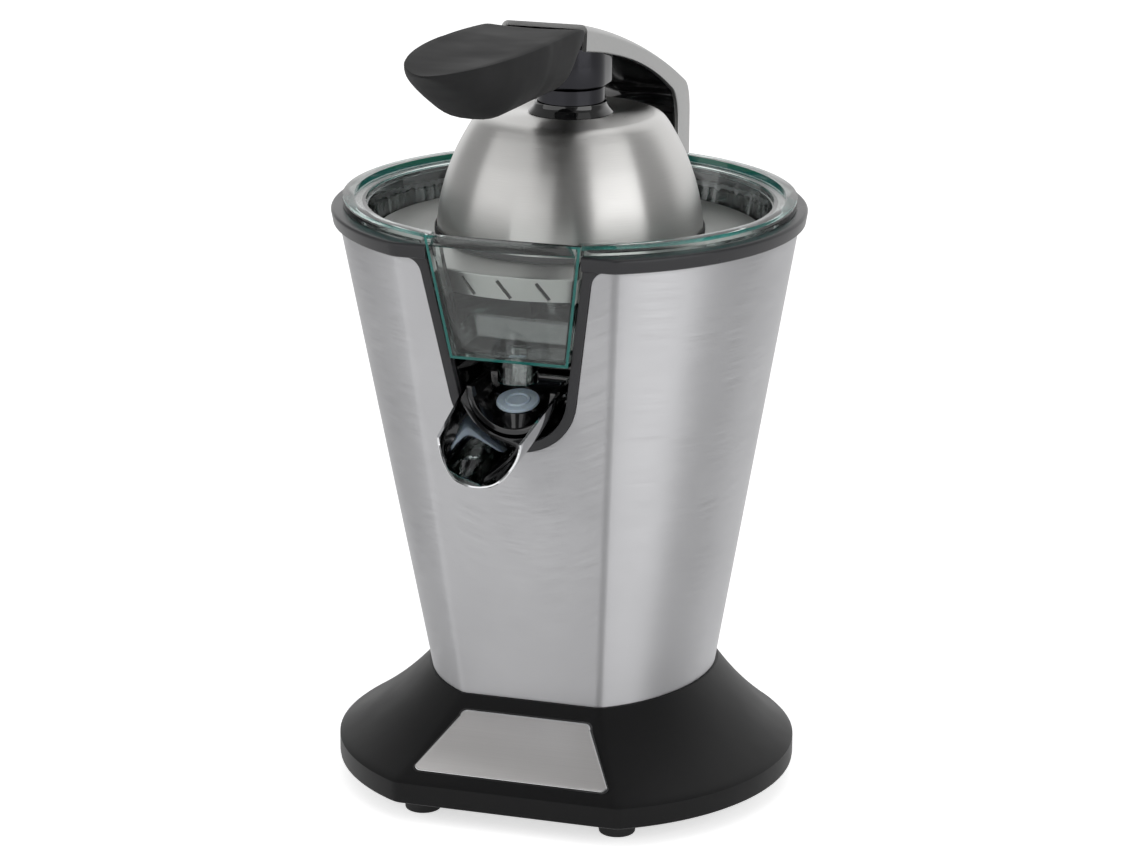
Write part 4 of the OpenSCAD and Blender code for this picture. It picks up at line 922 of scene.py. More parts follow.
@dataclass
class Base:
    """Flared black base with its badge plate and rubber feet."""

    deck_rim: float = 1.4
    wall: float = 2.6
    lip: float = 1.2
    skirt_tall: float = 10.0
    flare_even: float = 0.72
    flare_power: float = 2.6
    flare_steps: int = 22
    badge_low: float = 0.835
    badge_high: float = 0.122
    badge_share_low: float = 0.94
    badge_share_high: float = 0.9
    badge_round: float = 3.2
    foot_x: float = 44.7
    foot_y: float = 68.2
    foot_radius: float = 8.0

    @property
    def skirt_low(self) -> float:
        """Lower edge of the skirt."""
        return levels("base_shell")[0]

    @property
    def skirt_high(self) -> float:
        """Where the flare meets the upright skirt."""
        return self.skirt_low + self.skirt_tall

    def drop(self, t: float) -> float:
        """Share of the flare's height lost at a share t of its reach."""
        return self.flare_even * t + (1 - self.flare_even) * (1 - (1 - t) ** self.flare_power)

    def flare(self, t: float) -> tuple[Section, float]:
        """Section and height at a share t of the flare's reach.

        Args:
            t: Share of the reach, from the body out.

        Returns:
            Section and height.
        """
        rim = self.deck_rim
        start = Section(LOW.half_width + rim, LOW.front_length + rim, LOW.set_back, LOW.flat + rim)
        return start.toward(SKIRT, t), BODY_LOW + (self.skirt_high - BODY_LOW) * self.drop(t)

    def shell(self) -> Piece:
        """The moulded shell, hollow from below.

        Returns:
            The piece.
        """
        low, high = self.skirt_low, self.skirt_high
        upright = [(self.lip, low), (0.2, low + 0.6), (0, low + 1.8), (0, high - 0.8), (0, high - 0.35)]
        outer = [SKIRT.ring(inset, z) for inset, z in upright]
        for i in range(self.flare_steps, -1, -1):
            section, z = self.flare(i / self.flare_steps)
            blend = 0.35 if i == self.flare_steps else 0.0
            outer.append(section.ring(blend, z))
        section, z = self.flare(0)
        outer.append(section.ring(0.9, z + 0.15))
        inner = [section.ring(3.5, z + 0.15), section.ring(3.5, z - 3)]
        for i in range(0, self.flare_steps + 1, 2):
            section, z = self.flare(i / self.flare_steps)
            inner.append(section.ring(self.wall + 1, z - 3))
        inner.append(SKIRT.ring(self.wall, low))
        return lofted("base_skin", outer + inner, BASE_BLACK, closed=True)

    def badge_frame(self) -> tuple[Vector, Vector, float, float, float]:
        """Lower middle of the badge, its direction up the flare, its length and its two half widths.

        Returns:
            The five in this order, in millimetres.
        """
        (low, low_z), (high, high_z) = self.flare(self.badge_low), self.flare(self.badge_high)

        def corner(section: Section) -> float:
            """Half width of a section's flat front."""
            angle = math.asin((section.flat + section.set_back) / section.front_length)
            return section.half_width * math.cos(angle)

        start = Vector((0, AXIS_Y - low.flat, low_z))
        end = Vector((0, AXIS_Y - high.flat, high_z))
        run = end - start
        wide, narrow = corner(low) * self.badge_share_low, corner(high) * self.badge_share_high
        return start, run.normalized(), run.length, wide, narrow

    def badge_outline(self, inset: float) -> Outline:
        """Rounded trapezium of the badge as distances across and up its slope.

        Args:
            inset: How far it is moved inwards.

        Returns:
            The outline.
        """
        _, _, run, low, high = self.badge_frame()
        r = self.badge_round - inset / 2
        right = arc((low - inset - r, inset + r), r, -90, -12, 6)
        right += arc((high - inset - r, run - inset - r), r, -6, 90, 7)
        return right + [(-x, y) for x, y in reversed(right)]

    def badge_layer(self, name: str, inset: float, low: float, high: float, finish: Finish) -> Piece:
        """Plate of the badge's outline.

        Args:
            name: Name of the piece.
            inset: How far its outline is moved inwards.
            low: Underside above the flare.
            high: Upper face above the flare.
            finish: Its finish.

        Returns:
            The piece.
        """
        start, up, _, _, _ = self.badge_frame()
        out = Vector((1, 0, 0)).cross(up)
        flat = self.badge_outline(inset)
        outline = [tuple(start + Vector((x, 0, 0)) + up * y + out * low) for x, y in flat]
        return prism(name, outline, out * (high - low), finish)

    def badge(self) -> None:
        """Brushed plate with a cut edge, in a shallow dark frame."""
        plate = self.badge_layer("badge_face", 1.1, -0.8, 0.4, BADGE_STEEL)
        round_edges(plate, 0.12, 2, 50)
        seat(plate, "chassis", "badge_steel", "badge_plate")
        edge = self.badge_layer("badge_cut_edge", 0.55, -0.8, 0.28, BRIGHT_EDGE)
        round_edges(edge, 0.3, 2, 50)
        seat(edge, "chassis", "badge_steel")
        seat(self.badge_layer("badge_frame", -0.3, -0.9, 0.12, GLOSS_BLACK), "chassis", "base_black")

    def foot_tree(self) -> Tree:
        """Node tree that sets a foot on each corner of a rectangle.

        Returns:
            The tree.
        """
        sizes = dict.fromkeys(("Spacing X", "Spacing Y", "Place Y"), "Float")
        tree = geometry_tree("feet_on_corners", {"Foot": "Object"} | sizes | {"Material": "Material"})
        node = partial(add, tree)
        given = node("NodeGroupInput").outputs
        corners = {"Size X": given["Spacing X"], "Size Y": given["Spacing Y"]}
        offset = node("ShaderNodeCombineXYZ", {1: given["Place Y"]})
        grid = node("GeometryNodeMeshGrid", corners | {"Vertices X": 2, "Vertices Y": 2})
        placed = node("GeometryNodeSetPosition", {"Geometry": grid, "Offset": offset})
        foot = node("GeometryNodeObjectInfo", {"Object": given["Foot"]}, transform_space="ORIGINAL")
        shape = foot.outputs["Geometry"]
        each = node("GeometryNodeInstanceOnPoints", {"Points": placed, "Instance": shape})
        finish_tree(tree, node("GeometryNodeRealizeInstances", {"Geometry": each}), given["Material"])
        return tree

    def feet(self) -> None:
        """Four rubber feet."""
        r, top = self.foot_radius, self.skirt_low
        profile = [(0, 0.0), (r - 2.2, 0.0)] + arc((r - 1.2, 1.2), 1.2, -90, 0, 4)
        profile += [(r, top - 1.2), (r - 0.8, top), (0, top)]
        foot = turned("foot_shape", profile, FOOT_RUBBER, 0.0, 40)
        holder = new_piece("rubber_feet_dressed", [(0, 0, 0)], [], FOOT_RUBBER)
        values = {
            "Foot": foot,
            "Spacing X": 2 * self.foot_x * MM,
            "Spacing Y": 2 * self.foot_y * MM,
            "Place Y": AXIS_Y * MM,
            "Material": FOOT_RUBBER.material(),
        }
        run_tree(holder, self.foot_tree(), values)
        bpy.data.objects.remove(foot)
        seat(holder, "chassis", "foot_rubber", "rubber_feet")

    def build(self) -> None:
        """Builds and seats every piece of the base."""
        seat(self.shell(), "chassis", "base_black", "base_shell")
        self.badge()
        self.feet()


# ---- body ---------------------------------------------------------------------------------------


@dataclass
class Body:
    """Steel sheet, dark trim and the black housing inside."""

    sheet: float = 0.9
    bands: int = 6
    trim_out: float = 2.6
    trim_in: float = 5.5
    trim_high: float = 6.4
    trim_round: float = 1.6
    lining: float = 4.4
    lining_proud: float = 0.9
    lining_deep: float = 3.2

    def sheet_shell(self) -> Piece:
        """The folded sheet with its front opening.

        Returns:
            The piece.
        """
        heights = [BODY_LOW + (BODY_TOP - BODY_LOW) * i / self.bands for i in range(self.bands + 1)]
        profile = [(0.0, z) for z in heights] + [(self.sheet, z) for z in reversed(heights)]
        shell = body_hoop("body_sheet", profile, BODY_STEEL)
        combine(shell, OPENING.cutter(0.0, OPENING.flare, 40, 130), "DIFFERENCE")
        return shell

    def trim_ring(self) -> Piece:
        """Ring on the sheet's upper edge, with rounded edges.

        Returns:
            The piece.
        """
        low, high, r = BODY_TOP, BODY_TOP + self.trim_high, self.trim_round
        outer = [(-self.trim_out + 0.4, low), (-self.trim_out, low + 0.4)]
        outer += arc((-self.trim_out + r, high - r), r, 180, 90, 5)
        inner = [(self.trim_in - 0.6, high), (self.trim_in, high - 0.6), (self.trim_in, low)]
        ring = body_hoop("trim_ring", outer + inner, TRIM_GREY)
        combine(ring, OPENING.cutter(self.lining, 0.0, 50, 130), "DIFFERENCE")
        return ring

    def trim_lining(self) -> Piece:
        """Frame that lines the opening in the sheet.

        Returns:
            The piece.
        """
        low, high = OPENING.foot_z - OPENING.foot_radius - 4, BODY_TOP + self.trim_high - 0.6
        proud, deep = -self.lining_proud, self.lining_deep
        profile = [(proud, low), (proud, high), (deep, high), (deep, low)]
        band = body_hoop("trim_lining", profile, TRIM_GREY)
        combine(band, OPENING.cutter(0.2, OPENING.flare, 40, 130), "INTERSECT")
        combine(band, OPENING.cutter(self.lining, 0.0, 30, 140), "DIFFERENCE")
        round_edges(band, 0.35, 3, 40)
        return band

    def build(self) -> None:
        """Builds and seats the body's pieces."""
        seat(self.sheet_shell(), "chassis", "body_steel", "body_shell")
        seat(self.trim_ring(), "chassis", "trim_grey", "rim_trim")
        seat(self.trim_lining(), "chassis", "trim_grey")
        seat(refined("inner_housing", 0.0, GLOSS_BLACK), "chassis", "gloss_black", "inner_housing")


# ---- bowl and strainer --------------------------------------------------------------------------


@dataclass
class Bowl:
    """Clear bowl with its chute and nozzle."""

    edge: float = 0.6
    wall: float = 1.7
    rim: float = 94.0
    rim_half: float = 0.75
    rim_low: float = 264.2
    chute_front: float = 58.0
    front_area: float = 2000.0

    def glow(self, piece: Piece) -> None:
        """Paints the wall's cut section bright teal round the chute's front and along the rim: the plastic's
        own green, with a painted glow standing in for light carried along the wall.

        Args:
            piece: The bowl, with the edge finish in its second slot.
        """
        soup = bmesh.new()
        soup.from_mesh(piece.data)
        middle = Vector((0.0, AXIS_Y * MM, 0.0))
        # Faces for the painted edge glow: a border of wall thickness round each large front face of the
        # chute, and the faces along the rim's top.
        fronts = []
        for face in soup.faces:
            centre = face.calc_center_median()
            reach = (centre - middle).to_2d().length / MM
            ahead = face.normal.y < -0.9 and centre.y < -self.chute_front * MM
            if ahead and face.calc_area() > self.front_area * MM**2:
                fronts.append(face)
            elif centre.z > self.rim_low * MM and abs(reach - self.rim) < self.rim_half:
                face.material_index = 1
        for face in bmesh.ops.inset_individual(soup, faces=fronts, thickness=self.wall * MM)["faces"]:
            face.material_index = 1
        soup.to_mesh(piece.data)
        soup.free()

    def build(self) -> None:
        """Rounds the bowl's edges so that they catch the light, and gives them the plastic's own green
        painted bright, a painted glow for light carried along the wall.
        """
        piece = refined("juice_bowl", self.edge, CLEAR_BOWL, 40, CLEAR_EDGE_PAINTED_GLOW)
        self.glow(piece)
        seat(piece, "chassis", "clear_bowl", "juice_bowl")


@dataclass(frozen=True)
class SlotRow:
    """Row of equal slots round the strainer's axis, in millimetres and degrees."""

    radius: float
    drop: float
    count: int
    size: Point
    phase: float = 0.0
    lean: float = 0.0
    turn: float = 0.0


@dataclass
class Strainer:
    """Pressed strainer: a disc, a skirt and slots."""

    outer: float = 85.5
    skirt: float = 83.9
    metal: float = 1.0
    skirt_height: float = 11.2
    skirt_lean: float = 2.0
    bore: float = 14.5
    rows: tuple[SlotRow, ...] = (
        SlotRow(83.9, 6.6, 30, (12, 1.7, 9.6), phase=4.1, lean=38),
        SlotRow(44, 0, 20, (14, 1.6, 8), turn=24),
    )

    def blank(self) -> Piece:
        """The pressing before it is pierced.

        Returns:
            The piece.
        """
        top = levels("strainer")[1]
        r, t = self.skirt, self.metal
        foot, low, under = r - self.skirt_lean, top - self.skirt_height, top - t
        profile = [(self.bore, top), (self.outer - 0.5, top), (self.outer, top - 0.4), (self.outer, under)]
        profile += [(r, under), (foot, low), (foot - t, low), (r - t, under - 0.6), (r - t - 0.8, under)]
        return turned("strainer_pressing", profile + [(self.bore, under)], STRAINER_STEEL_PAINTED_SHADE, AXIS_Y, 180)

    def slot_tree(self) -> Tree:
        """Node tree that pierces a mesh with slots set round a vertical axis.

        Returns:
            The tree.
        """
        sizes = dict.fromkeys(("Radius", "Height", "Axis Y", "Lean", "Turn", "Phase"), "Float")
        rest = {"Count": "Int", "Slot Size": "Vector", "Material": "Material"}
        tree = geometry_tree("slots_round_axis", {"Geometry": "Geometry"} | sizes | rest)
        node, maths = partial(add, tree), "ShaderNodeMath"
        given = node("NodeGroupInput").outputs
        circle = node("GeometryNodeMeshCircle", {"Vertices": given["Count"], "Radius": given["Radius"]})
        offset = node("ShaderNodeCombineXYZ", {1: given["Axis Y"], 2: given["Height"]})
        phase = node("ShaderNodeCombineXYZ", {2: given["Phase"]})
        spot = {"Geometry": circle, "Translation": offset, "Rotation": phase}
        step = node(maths, {0: math.tau, 1: given["Count"]}, operation="DIVIDE")
        index = node("GeometryNodeInputIndex")
        around = node(maths, {0: index, 1: step, 2: given["Phase"]}, operation="MULTIPLY_ADD")
        cube = node("GeometryNodeMeshCube", {"Size": given["Slot Size"]})
        lean = node("ShaderNodeCombineXYZ", {0: given["Lean"], 2: given["Turn"]})
        slots = {
            "Points": node("GeometryNodeTransform", spot),
            "Instance": node("GeometryNodeTransform", {"Geometry": cube, "Rotation": lean}),
            "Rotation": node("ShaderNodeCombineXYZ", {2: around}),
        }
        each = node("GeometryNodeInstanceOnPoints", slots)
        cutters = node("GeometryNodeRealizeInstances", {"Geometry": each})
        both = {"Mesh 1": given["Geometry"], "Mesh 2": cutters}
        pierced = node("GeometryNodeMeshBoolean", both, operation="DIFFERENCE")
        finish_tree(tree, pierced, given["Material"])
        return tree

    def build(self) -> None:
        """Presses, pierces and seats the strainer."""
        piece, tree = self.blank(), self.slot_tree()
        top = levels("strainer")[1]
        for row in self.rows:
            values = {
                "Radius": row.radius * MM,
                "Height": (top - row.drop) * MM,
                "Axis Y": AXIS_Y * MM,
                "Lean": math.radians(row.lean),
                "Turn": math.radians(row.turn),
                "Phase": math.radians(row.phase),
                "Count": row.count,
                "Slot Size": tuple(v * MM for v in row.size),
                "Material": STRAINER_STEEL_PAINTED_SHADE.material(),
            }
            run_tree(piece, tree, values)
        seat(piece, "chassis", "strainer_steel", "strainer")


# ---- dome and neck ------------------------------------------------------------------------------


@dataclass
class PressDome:
    """Spun dome with liner, gasket and neck."""

    radius: float = 58.2
    metal: float = 1.2
    bore: float = 8.1
    sleeve_half: float = 15.6
    sleeve_back: float = 8.0
    flange: float = 18.5
    ring: float = 14.8
    shape: Knots = (
        (1.0, 0.0),
        (0.995, 0.1),
        (0.971, 0.28),
        (0.93, 0.455),
        (0.873, 0.63),
        (0.82, 0.755),
        (0.758, 0.88),
        (0.725, 0.935),
    )
    corner: float = 7.6
    corner_from: float = 34.0
    curve_steps: int = 5

    def side(self, inset: float) -> Outline:
        """Smooth outer line from the lower edge to the flat top, moved inwards.

        Args:
            inset: How far it is moved inwards.

        Returns:
            The line as radius and height.
        """
        low, top = levels("press_dome")
        knots = [Vector((self.radius * r, low + (top - low) * h)) for r, h in self.shape]
        line = [knots[0]]
        for i in range(len(knots) - 1):
            a, b = knots[max(i - 1, 0)], knots[i]
            c, d = knots[i + 1], knots[min(i + 2, len(knots) - 1)]
            for k in range(1, self.curve_steps + 1):
                t = k / self.curve_steps
                square, cube = 2 * a - 5 * b + 4 * c - d, 3 * b - a - 3 * c + d
                line.append(0.5 * (2 * b + (c - a) * t + square * t * t + cube * t**3))
        flat = [(p.x - inset, p.y) for p in line]
        cx = self.radius * self.shape[-1][0] - self.corner * math.cos(math.radians(self.corner_from))
        return flat + arc((cx, top - self.corner), self.corner - inset, self.corner_from + 4, 90, 10)

    def shell(self) -> Piece:
        """The spun steel dome.

        Returns:
            The piece.
        """
        outer, inner = self.side(0.0), self.side(self.metal)
        (r, low), top = outer[0], levels("press_dome")[1]
        edge = [(r - self.metal + 0.2, low), (r - 0.25, low), (r, low + 0.25)]
        hole = [(self.bore, top), (self.bore, top - self.metal)]
        return turned("dome_shell", edge + outer[1:] + hole + inner[:0:-1], DOME_STEEL, AXIS_Y, 192)

    def sleeve(self) -> Piece:
        """Oval sleeve between the neck ring and the arm.

        Returns:
            The piece.
        """
        low, high = levels("neck_sleeve")
        r, back = self.sleeve_half, self.sleeve_back

        def oval(inset: float, z: float) -> Ring:
            """Ring of the sleeve at a height.

            Args:
                inset: How far it is moved inwards.
                z: The height.

            Returns:
                The ring.
            """
            front = arc((0, AXIS_Y), r - inset, 180, 360, 32)
            rear = arc((0, AXIS_Y + back), r - inset, 0, 180, 32)
            return [(x, y, z) for x, y in front + rear]

        profile = [(0.6, low), (0.15, low + 0.3), (0.0, low + 0.9), (0.0, high - 8), (0.0, high)]
        return lofted("sleeve_tube", [oval(inset, z) for inset, z in profile], DARK_CHROME)

    def neck(self) -> Piece:
        """Flange and ring on top of the dome.

        Returns:
            The flange; the ring is seated here.
        """
        low, top = levels("press_dome")[1], levels("neck_sleeve")[0] - 0.4
        flange, ring = self.flange, self.ring
        profile = [(0, low), (flange - 0.4, low), (flange, low + 0.4)]
        profile += arc((flange + 1.2, low + 5.2), 4.0, 225, 180, 6)
        profile += [(ring + 0.9, low + 4.9), (0, low + 4.9)]
        piece = turned("neck_flange", profile, GLOSS_BLACK, AXIS_Y, 96)
        band = [(0, low + 4.7), (ring - 0.5, low + 4.7), (ring, low + 5.2)]
        band += [(ring, top - 0.5), (ring - 0.5, top), (0, top)]
        seat(turned("neck_ring", band, DARK_CHROME, AXIS_Y, 96), "lever", "gloss_black")
        return piece

    def build(self) -> None:
        """Builds and seats the dome's pieces."""
        seat(self.shell(), "lever", "dome_steel", "press_dome")
        seat(refined("dome_liner", 0.0, LINER_BLACK), "lever", "liner_black", "dome_liner")
        seat(refined("dome_gasket", 0.3, FOOT_RUBBER), "lever", "foot_rubber", "dome_gasket")
        seat(self.neck(), "lever", "gloss_black", "dome_cap")
        seat(self.sleeve(), "lever", "gloss_black", "neck_sleeve")


# ---- arm and grip -------------------------------------------------------------------------------


@dataclass
class Arm:
    """Lacquered channel arm with a black inlay along its inner side."""

    half: float = 19.0
    wall: float = 2.0
    corner: float = 3.0
    inlay_sink: float = 1.2
    inlay: float = 2.2
    hinge_y: float = 115.0
    hinge_z: float = 250.0
    knuckle: float = 11.0
    start: float = -40.0
    steps: int = 40
    bend_steps: int = 10
    crown: Knots = ((-60, 353.5), (40, 333), (118, 296))
    under: Knots = ((-60, 341), (35, 326), (91.2, 298))
    crown_bend_z: float = 292.0
    under_bend_z: float = 293.0
    bend_low_z: float = 279.0
    wall_levels: tuple[float, ...] = (272, 264, 256, 250)

    def stations(self) -> list[tuple[Vector, Vector]]:
        """Pairs of underside and crown points along the arm, from the grip to the hinge, in Y and Z.

        Returns:
            The pairs.
        """
        crown, under = ([Vector(p) for p in line] for line in (self.crown, self.under))
        back, front = self.hinge_y + self.knuckle, self.hinge_y - self.knuckle + 1.2
        first = (self.start - crown[0].x) / (crown[2].x - crown[0].x)
        shares = [first + (1 - first) * i / self.steps for i in range(self.steps + 1)]
        pairs = [(bezier(*under, t), bezier(*crown, t)) for t in shares]
        lower = under[2], Vector((front - 0.6, self.under_bend_z)), Vector((front, self.bend_low_z))
        upper = crown[2], Vector((back, self.crown_bend_z)), Vector((back, self.bend_low_z))
        shares = [i / self.bend_steps for i in range(1, self.bend_steps + 1)]
        pairs += [(bezier(*lower, t), bezier(*upper, t)) for t in shares]
        return pairs + [(Vector((front, z)), Vector((back, z))) for z in self.wall_levels]

    def sweep(self, name: str, section: Callable[[float], Outline], finish: Finish) -> Piece:
        """Sweeps a cross-section along the arm.

        Args:
            name: Name of the piece.
            section: From the arm's depth at a station to points across and up it.
            finish: Its finish.

        Returns:
            The piece.
        """
        rings = []
        for low, high in self.stations():
            up = (high - low).normalized()
            depth = (high - low).length
            rings.append([(x, AXIS_Y + low.x + up.x * v, low.y + up.y * v) for x, v in section(depth)])
        return lofted(name, rings, finish)

    def channel(self, depth: float) -> Outline:
        """Cross-section of the channel: three walls, open below.

        Args:
            depth: The arm's depth there.

        Returns:
            Points across and up the arm.
        """
        h, w, r = self.half, self.wall, self.corner
        outer = arc((h - r, depth - r), r, 0, 90, 6) + arc((-h + r, depth - r), r, 90, 180, 6)
        inner = arc((-h + r, depth - r), r - w, 180, 90, 4) + arc((h - r, depth - r), r - w, 90, 0, 4)
        edge = 0.4
        right = [(h - w, edge), (h - w + edge, 0), (h - edge, 0), (h, edge)]
        left = [(-h, edge), (-h + edge, 0), (-h + w - edge, 0), (-h + w, edge)]
        return right + outer + left + inner

    def inlay_strip(self, depth: float) -> Outline:
        """Cross-section of the black inlay."""
        x, low, high = self.half - self.wall - 0.15, self.inlay_sink, self.inlay_sink + self.inlay
        return [(-x, low + 0.6), (-x + 0.8, low), (x - 0.8, low), (x, low + 0.6), (x, high), (-x, high)]

    def knuckles(self) -> Piece:
        """Rounded ends of the walls round the pin.

        Returns:
            The piece.
        """
        half, r = self.half, self.knuckle
        ends = (-half + 0.03, r - 0.4), (-half + 0.43, r), (half - 0.43, r), (half - 0.03, r - 0.4)
        rings = []
        for x, radius in ends:
            circle = arc((AXIS_Y + self.hinge_y, self.hinge_z), radius, 0, 352.5, 47)
            rings.append([(x, y, z) for y, z in circle])
        return lofted("arm_knuckles", rings, ARM_SILVER)

    def build(self) -> None:
        """Builds and seats the arm."""
        seat(self.sweep("arm_channel", self.channel, ARM_SILVER), "lever", "arm_silver", "lever_arm")
        seat(self.knuckles(), "lever", "arm_silver")
        seat(self.sweep("arm_inlay", self.inlay_strip, GLOSS_BLACK), "lever", "gloss_black", "arm_cover")
        seat(refined("hinge_bracket", 0.5, GLOSS_BLACK), "chassis", "gloss_black", "hinge_bracket")


@dataclass
class Grip:
    """Long soft-touch grip: a shallow dished top with a crisp edge over a deep rounded belly."""

    rear: float = 36.0
    tip: float = 191.0
    widest: float = 24.0
    rear_half: float = 19.6
    slant: float = 0.15
    rear_round: float = 0.06
    rear_drop: float = 4.0
    widest_at: float = 0.45
    edge_z: float = 348.4
    edge_rise: float = 15.0
    edge_fall: float = 9.0
    belly: float = 28.4
    belly_until: float = 0.63
    nose: float = 0.8
    dish: float = 0.045
    lip: float = 0.05
    rings: int = 56
    slant_rings: int = 8
    belly_steps: int = 24

    def half(self, t: float) -> float:
        """Half width at a share t of the length.

        Args:
            t: The share, from the rear end.

        Returns:
            The half width.
        """
        v = max(0.0, (t - self.widest_at) / (1 - self.widest_at))
        if t < self.rear_round:
            return self.rear_half * (0.72 + 0.28 * math.sqrt(1 - (1 - t / self.rear_round) ** 2))
        if v > 0:
            return self.widest * max(0.0, 1 - v**2.2) ** 0.6 + 0.4
        swell = math.sin(math.pi / 2 * min(1.0, t / self.widest_at))
        return self.rear_half + (self.widest - self.rear_half) * swell

    def crown(self, t: float) -> float:
        """Height of the edge at a share t of the length."""
        rear = max(0.0, 1 - t / self.slant)
        return self.edge_z + self.edge_rise * t - self.edge_fall * t * t - self.rear_drop * rear**2

    def depth(self, t: float) -> float:
        """Depth of the belly below the edge.

        Args:
            t: The share, from the rear end.

        Returns:
            The depth.
        """
        v = max(0.0, (t - self.belly_until) / (1 - self.belly_until)) ** 1.06
        full = self.belly * (1 - v) + self.nose * v
        return min(1.0, 0.06 + 0.94 * t / self.slant) * full

    def ring(self, t: float) -> Ring:
        """Closed cross-section at a share t of the length.

        Args:
            t: The share, from the rear end.

        Returns:
            The ring.
        """
        w, top, d = self.half(t), self.crown(t), self.depth(t)
        y = AXIS_Y - self.rear - (self.tip - self.rear) * t
        lip = self.lip
        points = [(-w, top - lip * d), (-w + 0.02 * w, top - 0.015 * d), (-w + 0.06 * w, top)]
        points += [(w * s / 10, top - self.dish * d * (1 - (s / 9.4) ** 2)) for s in range(-8, 9, 2)]
        points += [(w - 0.06 * w, top), (w - 0.02 * w, top - 0.015 * d), (w, top - lip * d)]
        for i in range(1, self.belly_steps):
            a = math.pi * i / self.belly_steps
            x = w * math.copysign(abs(math.cos(a)) ** 0.78, math.cos(a))
            points.append((x, top - d * (lip + (1 - lip) * math.sin(a) ** 0.92)))
        return [(x, y, z) for x, z in points]

    def build(self) -> None:
        """Builds and seats the grip."""
        shares = [self.slant * i / self.slant_rings for i in range(self.slant_rings)]
        ease = [math.sin(math.pi / 2 * i / self.rings) for i in range(self.rings + 1)]
        shares += [self.slant + (1 - self.slant) * e for e in ease]
        piece = lofted("grip_shell", [self.ring(t) for t in shares], GRIP_BLACK)
        seat(piece, "lever", "grip_black", "grip")


# ---- spout --------------------------------------------------------------------------------------


@dataclass
class Spout:
    """Chrome scoop with its black dish and silicone valve plug."""

    radius: float = 21.0
    wall: float = 1.2
    start_y: float = -79.0
    start_z: float = 199.5
    length: float = 55.0
    slope: float = 13.5
    taper: float = 3.0
    steps: int = 36
    along: int = 14
    plug_tip: float = 16.0
    even_until: float = 0.98
    lip_at: float = 0.992
    cut_from: float = 0.48
    side_cut: float = 0.15

    def reach(self, a: float) -> float:
        """Length of the scoop at an angle round it, from the upper edges at 0 and 180 to the keel at 90."""
        side = max(0.0, abs(math.cos(math.radians(a))) - self.cut_from)
        return self.length * (1 - self.side_cut * side**1.6 / (1 - self.cut_from) ** 1.6)

    def scoop(self) -> Piece:
        """The chrome scoop, a closed shell with a rolled lip.

        Returns:
            The piece.
        """
        s = math.radians(self.slope)
        way, down = Vector((0, -math.cos(s), -math.sin(s))), Vector((0, math.sin(s), -math.cos(s)))
        start = Vector((0, AXIS_Y + self.start_y, self.start_z))

        def at(a: float, r: float, share: float) -> Point:
            """Point at an angle, a radius and a share of the length.

            Args:
                a: The angle in degrees.
                r: The radius at the rear end.
                share: The share of the length.

            Returns:
                The point.
            """
            t = math.radians(a)
            far = self.reach(a) * share
            r -= self.taper * far / self.length
            return tuple(start + Vector((r * math.cos(t), 0, 0)) + down * (r * math.sin(t)) + way * far)

        outer, inner = self.radius, self.radius - self.wall
        shares = [i / self.along * self.even_until for i in range(self.along + 1)]
        outline = [(outer, share) for share in shares]
        outline += [(outer - 0.1, self.lip_at), (outer - 0.55, 1.0), (inner + 0.1, self.lip_at)]
        outline += [(inner, share) for share in reversed(shares)]
        angles = [180 * i / self.steps for i in range(self.steps + 1)]
        columns = [[at(a, r, share) for r, share in outline] for a in angles]
        return lofted("spout_scoop", columns, SPOUT_CHROME)

    def plug(self) -> Piece:
        """Silicone plug: a disc with a raised ring, tipped towards the scoop.

        Returns:
            The piece.
        """
        low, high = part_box("valve_plug")
        middle, r = (low + high) / 2, (high.x - low.x) / 2 / MM
        half = (high.z - low.z) / 2 / MM
        profile = [(0, -half), (r * 0.55, -half), (r * 0.8, -half + 0.7), (r - 0.4, -0.2), (r, 0.3)]
        profile += [(r - 0.3, half - 0.2), (r - 0.8, half), (r * 0.6, half - 0.35), (r * 0.56, half + 0.35)]
        profile += [(r * 0.48, half + 0.35), (r * 0.44, half - 0.45), (0, half - 0.5)]
        piece = turned("valve_plug_disc", profile, PLUG_SILICONE, 0.0, 72)
        tip = math.radians(self.plug_tip)
        lift = Vector((0, 0, r * MM * math.sin(tip) * 0.6))
        piece.data.transform(Matrix.Translation(middle + lift) @ Matrix.Rotation(tip, 4, "X"))
        return piece

    def build(self) -> None:
        """Builds and seats the spout's pieces."""
        seat(self.scoop(), "spout_flap", "spout_chrome", "spout")
        seat(refined("spout_insert", 0.25, GLOSS_BLACK), "spout_flap", "gloss_black", "spout_insert")
        seat(self.plug(), "spout_flap", "plug_silicone", "valve_plug")


# ---- spring, and what stays as the frame made it ------------------------------------------------


@dataclass
class ReturnSpring:
    """Spring under the shaft, which shortens as the reamer is pressed."""

    stroke: float = 2.6

    def build(self) -> None:
        """Copies the spring and gives it a mesh of its own."""
        piece = refined("return_spring", 0.0, SLOT_FINISH["frame_steel"], 60)
        seat(piece, "chassis", "frame_steel", "return_spring")
        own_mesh(piece)


def dress_frame() -> None:
    """Gives every CAD node that still shows the finish of its slot."""
    slots = {part["node"]: part["material_slot"] for part in frame["record"]["subparts"]}
    for name, node in NODES.items():
        if node.hide_render:
            continue
        finish = SLOT_FINISH[slots[name]]
        node.data.materials.clear()
        node.data.materials.append(finish.material())


# ---- stage --------------------------------------------------------------------------------------


